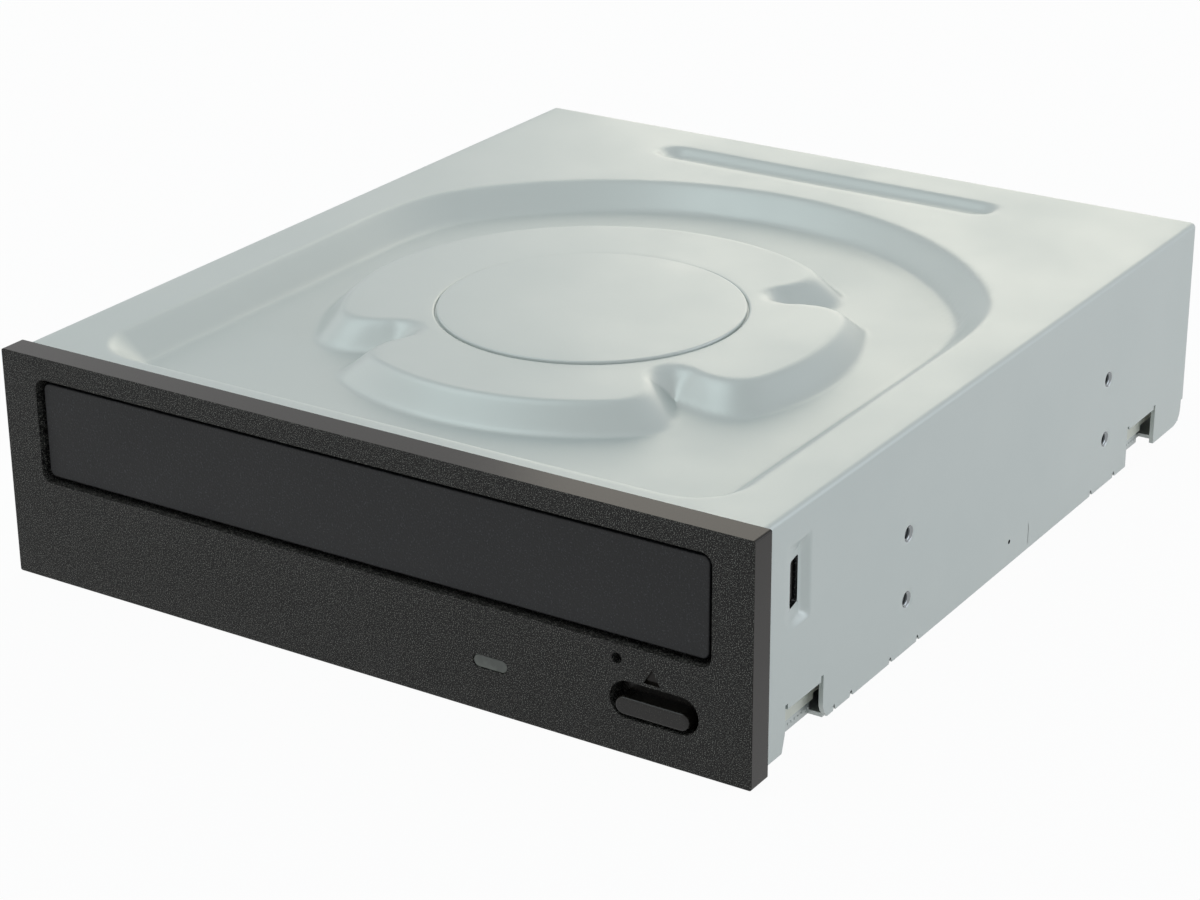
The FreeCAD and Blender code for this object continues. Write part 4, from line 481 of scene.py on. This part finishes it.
def softRise(reach, soft):
    # Nothing below zero, then straight up at one to one, with the turn rounded over soft on both sides
    if reach <= -soft:
        return 0.0
    if reach >= soft:
        return reach
    return (reach + soft) ** 2 / (4 * soft)


def wallDepth(reach, run, depth, soft):
    # Depth at a distance inside an edge: a straight wall with a rounded rim and foot
    return depth / run * (softRise(reach, soft) - softRise(reach - run, soft))


def least(first, second, soft):
    # The smaller of two, with the place where they cross rounded
    gap = max(soft - abs(first - second), 0.0) / soft
    return min(first, second) - gap * gap * soft / 4


def recessReach(x, y):
    # How far a place is inside the recess's edge, whose front corners are round and whose rear is an arc
    sideways = cover["recessHalf"] - abs(x)
    ahead = y - cover["recessFront"]
    corner = cover["recessCorner"]
    if sideways < corner and ahead < corner:
        reach = corner - math.hypot(corner - sideways, corner - ahead)
    else:
        reach = min(sideways, ahead)
    if y > cover["arcCentre"]:
        arc = cover["arcRadius"] - math.hypot(x, y - cover["arcCentre"])
        reach = least(reach, arc, cover["elbow"])
    return reach


def dentReach(x, y, angle):
    # How far a place is inside a dent, whose sides spread towards the plateau's rim
    turn = math.radians(angle)
    along = x * math.cos(turn) + y * math.sin(turn)
    across = -x * math.sin(turn) + y * math.cos(turn)
    if along < cover["dentTip"] - cover["dentFar"]:
        return -math.inf
    middle = cover["dentTip"] + cover["dentHalf"]
    spread = max(along - middle, 0.0) * cover["dentSpread"]
    reach = cover["dentHalf"] + spread - math.hypot(across, min(along - middle, 0.0))
    return reach / math.hypot(1, cover["dentSpread"])


def pressedDepth(x, y):
    # How far the top is pressed down at one place
    up = y - cover["spindle"]
    reach = math.hypot(x, up) - cover["plateau"]
    for angle in cover["dents"]:
        reach = -least(-reach, -dentReach(x, up, angle), cover["dentRound"])
    inner = wallDepth(reach, cover["plateauRun"], cover["depth"], cover["plateauSoft"])
    outer = wallDepth(recessReach(x, y), cover["wallRun"], cover["depth"], cover["wallSoft"])
    depth = max(min(inner, outer), 0.0)
    beyond = max(abs(x) - cover["grooveHalf"], 0.0)
    grooveReach = cover["grooveRadius"] - math.hypot(beyond, y - cover["grooveY"])
    return max(depth, wallDepth(grooveReach, cover["grooveRun"], cover["grooveDepth"], cover["grooveSoft"]))


def spacedLines(low, high, steps, musts=()):
    # Places from low to high: each must has its line, and each span between them its own spacing
    stops = sorted({low, high, *[place for place in musts if low < place < high]})
    stops = [stop for index, stop in enumerate(stops) if index == 0 or stop - stops[index - 1] > slack]
    lines = [low]
    for start, end in zip(stops, stops[1:]):
        middle = (start + end) / 2
        size = next((step for first, last, step in steps if first <= middle <= last), cover["cell"])
        count = max(1, math.ceil((end - start) / size - small))
        lines += [start + (end - start) * (index + 1) / count for index in range(count)]
    return lines


def bentEdge(places, low, high, atLow, atHigh):
    # Adds the lines that go round the bend beyond a flat stretch
    extra = [cover["bend"] * (step + 1) / cover["bendSteps"] for step in range(cover["bendSteps"])]
    before = [low - reach for reach in reversed(extra)] if atLow else []
    after = [high + reach for reach in extra] if atHigh else []
    return before + places + after


def capLines():
    # The columns and rows of the cover's top, close together where it is pressed
    flat = cover["side"] - cover["bend"]
    rear = cover["back"] - cover["bend"]
    outer = cover["recessHalf"] + cover["wallOut"]
    inner = cover["recessHalf"] - cover["wallIn"]
    across = [(-outer, -inner, cover["fineCell"]), (inner, outer, cover["fineCell"]),
              (-flat, -outer, cover["wideCell"]), (outer, flat, cover["wideCell"])]
    pocket = (cover["pocketDeep"], cover["pocketEnd"])
    start = cover["front"] + cover["frontRun"]
    rest = cover["pocketEnd"] + cover["pocketRest"]
    groove = cover["grooveRows"]
    lengthways = [(*pocket, cover["pocketCell"]), (start, rest, cover["fineCell"]),
                  (*groove, cover["fineCell"]), (cover["arcEnd"], groove[0], cover["wideCell"]),
                  (groove[1], rear, cover["wideCell"]),
                  (cover["arcStart"], cover["arcEnd"], cover["arcCell"]),
                  (rest, cover["arcStart"], cover["middleCell"])]
    stops = [start, *pocket, rest, cover["arcStart"], cover["arcEnd"], *groove, cover["tailEnd"],
             cover["tailEnd"] - cover["tailRound"]]
    for notch in cover["notches"]:
        rounded = (notch["start"] + cover["notchRound"], notch["end"] - cover["notchRound"])
        stops += [notch["start"], *rounded, notch["end"]]
    for nick in cover["nicks"]:
        stops += [nick - cover["nickHalf"], nick, nick + cover["nickHalf"]]
    columns = spacedLines(-flat, flat, across, [-outer, -inner, inner, outer])
    rows = spacedLines(cover["front"], rear, lengthways, stops)
    return bentEdge(columns, -flat, flat, True, True), bentEdge(rows, cover["front"], rear, False, True)


def capSpot(x, y):
    # Where a line crossing of the flat sheet lies on the bent and pressed one
    flat = cover["side"] - cover["bend"]
    rear = cover["back"] - cover["bend"]
    overX = max(abs(x) - flat, 0.0) / cover["bend"]
    overY = max(y - rear, 0.0) / cover["bend"]
    over = max(overX, overY)
    if over == 0:
        return x, y, cover["top"] - pressedDepth(x, y)
    # Round the bend: the angle grows with the furthest overshoot, and a corner takes a share of a ball
    turn = over * math.pi / 2
    heading = Vector((overX, overY)).normalized() if overX and overY else Vector((overX, overY)) / over
    x = math.copysign(min(abs(x), flat) + cover["bend"] * heading.x * math.sin(turn), x)
    y = min(y, rear) + cover["bend"] * heading.y * math.sin(turn)
    return x, y, cover["top"] - cover["bend"] * (1 - math.cos(turn))


def coverCap():
    # The flat and pressed top as a grid, with its bends, then the walls drawn down from them
    columns, rows = capLines()
    form = bmesh.new()
    bmesh.ops.create_grid(form, x_segments=len(columns) - 1, y_segments=len(rows) - 1, size=1.0)
    doomed = []
    for vert in form.verts:
        x = columns[round((vert.co.x + 1) / 2 * (len(columns) - 1))]
        y = rows[round((vert.co.y + 1) / 2 * (len(rows) - 1))]
        x, y, z = capSpot(x, y)
        if math.hypot(x, y - cover["spindle"]) < cover["polarEdge"] + cover["gridGap"]:
            doomed.append(vert)
        vert.co = (x * mm, y * mm, z * mm)
    bmesh.ops.delete(form, geom=doomed, context="VERTS")
    addDiscStep(form)
    drawWalls(form)
    bmesh.ops.recalc_face_normals(form, faces=form.faces)
    if sum(face.normal.z for face in form.faces) < 0:
        bmesh.ops.reverse_faces(form, faces=form.faces)
    return form


def pocketDepth(y, z):
    # The clip pocket slopes in slowly from the front and comes out steeply at its back
    start, deep, end = cover["pocketStart"], cover["pocketDeep"], cover["pocketEnd"]
    ahead = (y - start) / (deep - start) * cover["pocketDepth"]
    behind = (end - y) / (end - deep) * cover["pocketDepth"]
    levels = min(z - cover["pocketLow"], cover["pocketHigh"] - z) * cover["pocketSlope"]
    return max(least(least(ahead, behind, cover["pocketRound"]), levels, cover["pocketRound"]), 0.0)


def grownRing(form, ring):
    # Draws a new ring of faces from an open edge: gives its vertices and its edges
    grown = bmesh.ops.extrude_edge_only(form, edges=ring)["geom"]
    verts = [item for item in grown if isinstance(item, bmesh.types.BMVert)]
    return verts, [item for item in grown if isinstance(item, bmesh.types.BMEdge)]


def drawWalls(form):
    # The sides and the back: the bend's lower rim drawn down level by level, then cut and pressed
    rimLevel = cover["top"] - cover["bend"]
    tops = [notch["top"] for notch in cover["notches"]]
    stops = [cover["rearLow"], cover["leanAheadTop"], *cover["levels"], *tops]
    levels = sorted(spacedLines(cover["skirtLow"], rimLevel, cover["levelSpans"], stops), reverse=True)
    rim = [edge for edge in form.edges if len(edge.link_faces) == 1 and
           all(abs(vert.co.z / mm - rimLevel) < tiny for vert in edge.verts)]
    for level in levels[1:]:
        verts, rim = grownRing(form, rim)
        for vert in verts:
            vert.co.z = level * mm
    cutWalls(form)
    leanWalls(form)
    mouth = cover["holeRadius"] + cover["holeRim"]
    for sign in (1, -1):
        for y, z in cover["holes"]:
            spot = {"y": y, "z": z, "halfWide": mouth, "halfTall": mouth, "round": mouth}
            drawCollar(form, pierce(form, sign, spot, cover["holeClear"]), spot, sign)
        for name in ("window", "dot", "slit"):
            pierce(form, sign, cover[name], cover[name + "Clear"])


def isCutOut(middle):
    # Whether a face of the walls with this middle lies in a notch, behind the tail or under the back's edge
    if abs(middle.x) <= cover["side"] - slack or middle.y >= cover["back"] - cover["bend"]:
        return middle.z < cover["rearLow"]
    for notch in cover["notches"]:
        if notch["start"] < middle.y < notch["end"]:
            byEnd = min(middle.y - notch["start"], notch["end"] - middle.y) < cover["notchRound"]
            if middle.z < notch["top"] + (cover["notchOver"] if byEnd else 0.0):
                return True
    return middle.y > cover["tailEnd"] and middle.z < cover["rearLow"]


def cutWalls(form):
    # Takes the cut-outs away from the drawn walls
    gone = [face for face in form.faces if isCutOut(face.calc_center_median() / mm)]
    bmesh.ops.delete(form, geom=gone, context="FACES")


def leanWalls(form):
    # Shapes the cut side walls: slanting ends, the rounded tail, nicks in the lower edge and the clip pocket
    low = cover["skirtLow"]
    first = cover["notches"][0]
    tail = cover["tailEnd"] - cover["tailRound"]
    for vert in form.verts:
        x, y, z = vert.co / mm
        if abs(x) < cover["side"] - slack or z > cover["top"] - cover["bend"] - small:
            continue
        shift = 0.0
        if y < first["start"] + small:
            rise = max(cover["leanAheadTop"] - z, 0.0) / (cover["leanAheadTop"] - low)
            shift = -cover["leanAhead"] * rise * max(0.0, 1 - (first["start"] - y) / cover["leanReach"])
        elif first["end"] - small < y < 0:
            rise = max(cover["leanBackTop"] - z, 0.0) / (cover["leanBackTop"] - low)
            share = max(0.0, 1 - (y - first["end"]) / cover["leanReach"])
            shift = cover["leanBack"] * rise ** cover["leanCurve"] * share
        past = y - tail
        under = low + cover["tailRound"] - z
        if past > tiny and under > tiny:
            share = max(past, under) / math.hypot(past, under)
            y = tail + past * share
            z = low + cover["tailRound"] - under * share
        if z < low + small and any(abs(y - nick) < slack for nick in cover["nicks"]):
            z += cover["nickRise"]
        vert.co = (math.copysign(abs(x) - pocketDepth(y, z), x) * mm, (y + shift) * mm, z * mm)


def pierce(form, sign, spot, clear):
    # An opening with round corners in a side: the grid is cleared round it and filled up to its edge
    wide = spot["halfWide"] - spot["round"]
    tall = spot["halfTall"] - spot["round"]

    def reach(vert):
        aside = max(abs(vert.co.y / mm - spot["y"]) - wide, 0.0)
        over = max(abs(vert.co.z / mm - spot["z"]) - tall, 0.0)
        return math.hypot(aside, over) - spot["round"]

    def onWall(vert):
        return vert.co.x * sign > (cover["side"] - cover["wallDeep"]) * mm

    gone = [vert for vert in form.verts if onWall(vert) and reach(vert) < clear * cover["clearShare"]]
    bmesh.ops.delete(form, geom=gone, context="VERTS")
    lowest = (cover["skirtLow"] + cover["fillLow"]) * mm
    farthest = clear + cover["fillReach"]
    jagged = [edge for edge in form.edges if len(edge.link_faces) == 1 and
              all(onWall(vert) and reach(vert) < farthest and vert.co.z > lowest for vert in edge.verts)]
    made = bmesh.ops.create_circle(form, cap_ends=False, segments=cover["holeSteps"], radius=1.0)
    for vert in made["verts"]:
        y = spot["y"] + math.copysign(wide, vert.co.x) * (abs(vert.co.x) > small) + vert.co.x * spot["round"]
        z = spot["z"] + math.copysign(tall, vert.co.y) * (abs(vert.co.y) > small) + vert.co.y * spot["round"]
        vert.co = (sign * (cover["side"] - pocketDepth(y, z)) * mm, y * mm, z * mm)
    ring = list({edge for vert in made["verts"] for edge in vert.link_edges})
    bmesh.ops.triangle_fill(form, edges=jagged + ring, use_beauty=True, use_dissolve=False,
                            normal=(sign, 0, 0))
    return ring


def drawCollar(form, ring, spot, sign):
    # The threaded holes' mouths are rounded and drawn inwards
    centre = Vector((0, spot["y"] * mm, spot["z"] * mm))
    before = spot["round"]
    steps = [(cover["holeRadius"] + wider, depth) for wider, depth in cover["mouth"]]
    for turn in range(cover["turns"]):
        odd = turn % 2
        steps.append((cover["holeRadius"] - cover["threadIn"] * odd,
                      cover["threadStart"] + cover["threadStep"] * turn - cover["threadLean"] * odd))
    for radius, depth in steps:
        verts, ring = grownRing(form, ring)
        for vert in verts:
            offset = (vert.co - centre) * (radius / before)
            vert.co = Vector((sign * (cover["side"] - depth) * mm, centre.y + offset.y, centre.z + offset.z))
        before = radius


def addDiscStep(form):
    # The round of the middle: a half-sheared step, turned as rings and joined to the grid round it
    middle = cover["spindle"] * mm
    joined = (cover["polarEdge"] + cover["joinReach"]) * mm
    jagged = [edge for edge in form.edges if len(edge.link_faces) == 1 and
              all(math.hypot(vert.co.x, vert.co.y - middle) < joined for vert in edge.verts)]
    rim = cover["disc"]
    high = cover["discRise"]
    outer = cover["polarEdge"] - cover["polarGap"]
    rings = []
    for inner, step in cover["ringSpans"]:
        count = math.ceil((outer - inner) / step)
        rings += [(outer - (outer - inner) * index / count, 0.0) for index in range(count)]
        outer = inner
    rings += [(rim + wider, rise) for wider, rise in cover["rimRings"]]
    rings += [(rim + wider, high + rise) for wider, rise in cover["discRings"]]
    rings += [(rim * share, high) for share in cover["discShares"]]
    made = bmesh.ops.create_circle(form, cap_ends=False, segments=cover["polarSteps"],
                                   radius=rings[0][0] * mm)
    bmesh.ops.translate(form, verts=made["verts"], vec=(0, middle, (cover["top"] - cover["depth"]) * mm))
    firstRing = list({edge for vert in made["verts"] for edge in vert.link_edges})
    ring = firstRing
    for before, (radius, rise) in zip(rings, rings[1:]):
        verts, ring = grownRing(form, ring)
        share = radius / before[0]
        for vert in verts:
            x = vert.co.x * share
            y = (vert.co.y - middle) * share + middle
            vert.co = Vector((x, y, (cover["top"] - pressedDepth(x / mm, y / mm) + rise) * mm))
    bmesh.ops.edgeloop_fill(form, edges=ring)
    bmesh.ops.triangle_fill(form, edges=jagged + firstRing, use_beauty=True, use_dissolve=False)


def bakedForm(piece):
    # The piece's mesh with its modifiers worked in, as a bmesh; the piece itself goes
    bpy.context.view_layer.update()
    graph = bpy.context.evaluated_depsgraph_get()
    source = piece.evaluated_get(graph)
    form = bmesh.new()
    form.from_mesh(source.to_mesh())
    source.to_mesh_clear()
    bpy.data.objects.remove(piece)
    return form


def addCover():
    # The top cover: the pressed sheet given its thickness, with the rims of its holes marked
    sheet = newObject("coverSheet", coverCap(), [finishes["coverSteel"]])
    wall = sheet.modifiers.new("sheet", "SOLIDIFY")
    wall.thickness = cover["sheet"] * mm
    wall.offset = -1
    wall.use_even_offset = False
    form = bakedForm(sheet)
    sharpen(form, math.radians(cover["crease"]))

    def inHole(spot, normal):
        # The rims of the threaded holes and of the small cut-outs take a darker glossy metal: the bare steel
        # of threads and cut edges, and in part a painted shade that darkens the holes and the slit
        near = min(math.hypot(spot.y - y, spot.z - z) for y, z in cover["holes"])
        cut = any(abs(spot.y - cover[gap]["y"]) < cover[gap]["halfWide"] + cover["markGap"] and
                  abs(spot.z - cover[gap]["z"]) < cover[gap]["halfTall"] + cover["markGap"]
                  for gap in ("slit", "window", "dot"))
        inRim = cover["side"] - cover["markDeep"] < abs(spot.x) < cover["side"] - cover["markEdge"]
        return inRim and (near < cover["holeRadius"] + cover["markRim"] or cut)

    markFaces(form, inHole)
    piece = newObject("topCover", form, [finishes["coverSteel"]], smooth=False)
    stands(piece, "top_cover")
    print("top cover pressed:", sum(len(face.vertices) - 2 for face in piece.data.polygons), "triangles")


addCover()

# Front moulding, door and button, in millimetres
frontLook = {
    "height": 41.8, "front": -85.0, "near": 0.05, "inside": 69.0, "turned": 0.5,
    "hookOut": 71.9, "hookAhead": -76.0, "hookSink": 0.5, "hookRound": 0.8, "edgeShare": 0.38, "steps": 3,
    "arrow": (56.35, 14.1), "arrowReach": 2.2, "arrowDepth": 0.6, "arrowFrom": 0.1, "arrowTo": 0.5,
    "door": {"width": 0.35, "level": -84.05}, "button": {"width": 0.55, "level": -84.95},
}


def weighEdges(form, share):
    # How much of the bevel that follows each bent edge takes
    layer = form.edges.layers.float.new("bevel_weight_edge")
    for edge in form.edges:
        bent = len(edge.link_faces) == 2 and edge.calc_face_angle(0.0) > copyLook["sharp"]
        edge[layer] = share([vert.co / mm for vert in edge.verts]) if bent else 0.0


def inArrow(spot):
    away = math.hypot(spot.x - frontLook["arrow"][0], spot.z - frontLook["arrow"][1])
    return away < frontLook["arrowReach"]


def onHook(spot):
    return abs(spot.x) > frontLook["hookOut"] and spot.y > frontLook["hookAhead"]


def atFront(spot):
    return spot.y < frontLook["front"] + frontLook["near"]


def isSmooth(spot, normal):
    # The arrow's floor, the outer sides, the top, the underside and the hooks have no grain
    arrow = inArrow(spot) and spot.y < frontLook["front"] + frontLook["arrowTo"] and not atFront(spot)
    turned = abs(normal.y) < frontLook["turned"]
    onTop = spot.z > frontLook["height"] - frontLook["near"] or spot.z < frontLook["near"]
    return arrow or turned and (abs(spot.x) > frontLook["inside"] or onTop)


def frontRound(ends):
    # Whole roundness along the hooks, a share of it round the front face, none at the arrow
    if all(onHook(end) for end in ends) and abs(ends[0].y - ends[1].y) < frontLook["arrowFrom"]:
        return 1.0
    if all(inArrow(end) for end in ends) or not all(atFront(end) for end in ends):
        return 0.0
    return frontLook["edgeShare"]


def addFrontMoulding():
    form = mergedCopy("bezel")
    sharpen(form)
    markFaces(form, isSmooth)
    weighEdges(form, frontRound)
    for vert in form.verts:
        spot = vert.co / mm
        if onHook(spot):
            vert.co.x -= math.copysign(frontLook["hookSink"] * mm, vert.co.x)
        if inArrow(spot) and frontLook["arrowFrom"] < spot.y - frontLook["front"] < frontLook["arrowTo"]:
            vert.co.y = (frontLook["front"] + frontLook["arrowDepth"]) * mm
    piece = newObject("frontMoulding", form, [finishes["frontPlastic"]], smooth=False)
    easeEdges(piece, frontLook["hookRound"] * mm, frontLook["steps"], "WEIGHT")
    stands(piece, "bezel")


def frontCopy(node, name, paint, look):
    # A moulding whose front edges are rounded and whose hidden ones stay
    form = mergedCopy(node)
    sharpen(form)
    weighEdges(form, lambda ends: float(all(end.y < look["level"] for end in ends)))
    piece = newObject(name, form, [paint], smooth=False)
    easeEdges(piece, look["width"] * mm, frontLook["steps"], "WEIGHT")
    stands(piece, node)


addFrontMoulding()
frontCopy("tray_door", "trayDoor", finishes["doorPlastic"], frontLook["door"])
frontCopy("eject_button", "ejectButton", finishes["buttonPlastic"], frontLook["button"])
print("front dressed")

# Screws: the reach of a head's flat, by which it is found, and the cross sunk in it, in millimetres
screwLook = {
    "head": (2.2, 2.4), "corners": 12, "halfLong": 1.3, "halfWide": 0.3, "depth": 0.7, "taper": 0.6,
    "names": {"cover_screws": "coverScrews", "bridge_screws": "bridgeScrews", "board_screws": "boardScrews",
              "grommet_screws": "grommetScrews"},
}


def sinkCross(form, centre, normal, rim):
    # A cross in a head: a plus of five cells sunk below the head's level, and the ring round it filled
    made = bmesh.ops.create_grid(form, x_segments=3, y_segments=3, size=1.0)
    cells = {cell for vert in made["verts"] for cell in vert.link_faces}
    middles = {cell: cell.calc_center_median() for cell in cells}
    corners = [cell for cell in cells if min(abs(middles[cell].x), abs(middles[cell].y)) > 0.5]
    cells -= set(corners)
    bmesh.ops.delete(form, geom=corners, context="FACES")
    aside = normal.orthogonal().normalized()
    along = normal.cross(aside)

    def onHead(u, v, size, depth):
        reach = [screwLook["halfLong"] if abs(value) > 0.5 else screwLook["halfWide"] for value in (u, v)]
        far = [math.copysign(length, value) * size for length, value in zip(reach, (u, v))]
        return centre + (aside * far[0] + along * far[1] - normal * depth) * mm

    plan = {vert: (vert.co.x, vert.co.y) for vert in {vert for cell in cells for vert in cell.verts}}
    for vert, (u, v) in plan.items():
        vert.co = onHead(u, v, screwLook["taper"], screwLook["depth"])
    floorRim = [edge for edge in {edge for cell in cells for edge in cell.edges} if len(edge.link_faces) == 1]
    low = {vert for edge in floorRim for vert in edge.verts}
    verts, top = grownRing(form, floorRim)
    for vert in verts:
        below = min(low, key=lambda other: (other.co - vert.co).length)
        vert.co = onHead(*plan[below], 1.0, 0.0)
    bmesh.ops.triangle_fill(form, edges=rim + top, use_beauty=True, use_dissolve=False, normal=normal)


def crossHeads(node, name):
    # Screws whose heads are opened for a cross in each
    form = mergedCopy(node)
    heads = []
    for face in form.faces:
        centre = face.calc_center_median()
        reach = [(vert.co - centre).length / mm for vert in face.verts]
        inner, outer = screwLook["head"]
        if len(reach) >= screwLook["corners"] and inner < min(reach) and max(reach) < outer:
            heads.append((face, centre, face.normal.copy(), list(face.edges)))
    bmesh.ops.delete(form, geom=[head[0] for head in heads], context="FACES_ONLY")
    for face, centre, normal, rim in heads:
        sinkCross(form, centre, normal, rim)
    bmesh.ops.recalc_face_normals(form, faces=form.faces)
    sharpen(form)
    stands(newObject(name, form, [finishes["brightSteel"]], smooth=False), node)


for node, name in screwLook["names"].items():
    crossHeads(node, name)
print("screws cut")


def addBlock(form, low, high):
    # A block between two corners in millimetres, given back as its vertices
    made = bmesh.ops.create_cube(form, size=1.0)
    bmesh.ops.scale(form, verts=made["verts"], vec=(Vector(high) - Vector(low)) * mm)
    bmesh.ops.translate(form, verts=made["verts"], vec=(Vector(low) + Vector(high)) / 2 * mm)
    return made["verts"]


# Rear connector: its contacts stand in two rows, each with a middle and a count, in millimetres
plugLook = {
    "pitch": 1.27, "width": 0.84, "length": 5.6, "thick": 0.06, "back": 83.4, "level": 6.3,
    "rows": ((21.0, 7), (40.8, 15)), "round": 0.12,
}


def addPlug():
    # The connector with its gilded contacts on the two tongues
    form = mergedCopy("sata_connector")
    sharpen(form)
    half, thick = plugLook["width"] / 2, plugLook["thick"]
    for middle, count in plugLook["rows"]:
        for index in range(count):
            x = middle + (index - (count - 1) / 2) * plugLook["pitch"]
            low = (x - half, plugLook["back"] - plugLook["length"], plugLook["level"] - thick)
            verts = addBlock(form, low, (x + half, plugLook["back"], plugLook["level"] + thick))
            for face in {face for vert in verts for face in vert.link_faces}:
                face.material_index = 1
    piece = newObject("backPlug", form, [finishes["chipBlack"], finishes["goldContact"]], smooth=False)
    easeEdges(piece, plugLook["round"] * mm, 1)
    stands(piece, "sata_connector")


addPlug()

# What shows through the side notches: a dotted lip of the base plate and a foot of the frame, in millimetres
notchLook = {
    "runs": ((-72.9, -58.8), (57.3, 70.4)), "lip": (68.0, 69.6), "lipLevel": (0.5, 2.9), "lipRound": 0.1,
    "dots": 13, "dotRadius": 0.2, "dotLevel": 1.6,
    "foot": (68.3, 70.2), "footLevel": (3.1, 4.6), "footRound": 0.2,
}


def notchBlocks(form, reach, level):
    # A block behind each side notch: gives the side and the run of each
    runs = [(sign, *run) for sign in (1, -1) for run in notchLook["runs"]]
    for sign, start, end in runs:
        near, far = sorted(sign * place for place in reach)
        addBlock(form, (near, start, level[0]), (far, end, level[1]))
    return runs


def addBottomCover():
    # The base plate, with the dotted lip that shows through each notch
    form = mergedCopy("bottom_cover")
    for sign, start, end in notchBlocks(form, notchLook["lip"], notchLook["lipLevel"]):
        for index in range(notchLook["dots"]):
            y = start + (index + 0.5) / notchLook["dots"] * (end - start)
            place = Vector((sign * notchLook["lip"][1], y, notchLook["dotLevel"])) * mm
            made = bmesh.ops.create_icosphere(form, subdivisions=2, radius=notchLook["dotRadius"] * mm)
            bmesh.ops.translate(form, verts=made["verts"], vec=place)
    sharpen(form)
    piece = newObject("bottomCover", form, [finishes["baseSteel"]], smooth=False)
    easeEdges(piece, notchLook["lipRound"] * mm)
    stands(piece, "bottom_cover")


def addMainFrame():
    # The moulded frame, with the feet that reach down behind the notches
    form = mergedCopy("main_frame")
    notchBlocks(form, notchLook["foot"], notchLook["footLevel"])
    sharpen(form)
    piece = newObject("mainFrame", form, [finishes["creamPlastic"]], smooth=False)
    easeEdges(piece, notchLook["footRound"] * mm)
    stands(piece, "main_frame")


addBottomCover()
addMainFrame()
print("connector, base plate and frame made")

# The other pieces with eased edges: name and width of the rounding in millimetres
eased = {
    "disc_tray": ("discTray", 0.35), "clamp_bridge": ("clampBridge", 0.15),
    "clamper": ("clamperRound", 0.2), "lift_frame": ("liftFrame", 0.25),
    "traverse_base": ("traverseBase", 0.12), "cam_slider": ("camSlider", 0.2),
    "pickup_body": ("pickupBody", 0.3), "lens_holder": ("lensHolder", 0.15),
    "turntable": ("turntableRound", 0.2), "loading_motor": ("loadingMotor", 0.4),
    "spindle_rotor": ("spindleRotor", 0.3), "sled_motor": ("sledMotor", 0.3),
    "led_window": ("lampWindow", 0.15), "main_board": ("mainBoard", 0.1),
    "front_board": ("frontBoard", 0.1), "board_capacitors": ("boardCans", 0.3),
    "main_processor": ("mainChip", 0.15), "memory_chip": ("memoryChip", 0.1),
    "motor_driver": ("driverChip", 0.1), "grommets": ("rubberMounts", 0.15),
}
for node, (name, width) in eased.items():
    softCopy(node, name, finishes[slotFinish[slotOf[node]]], width * mm)
print("inside eased")
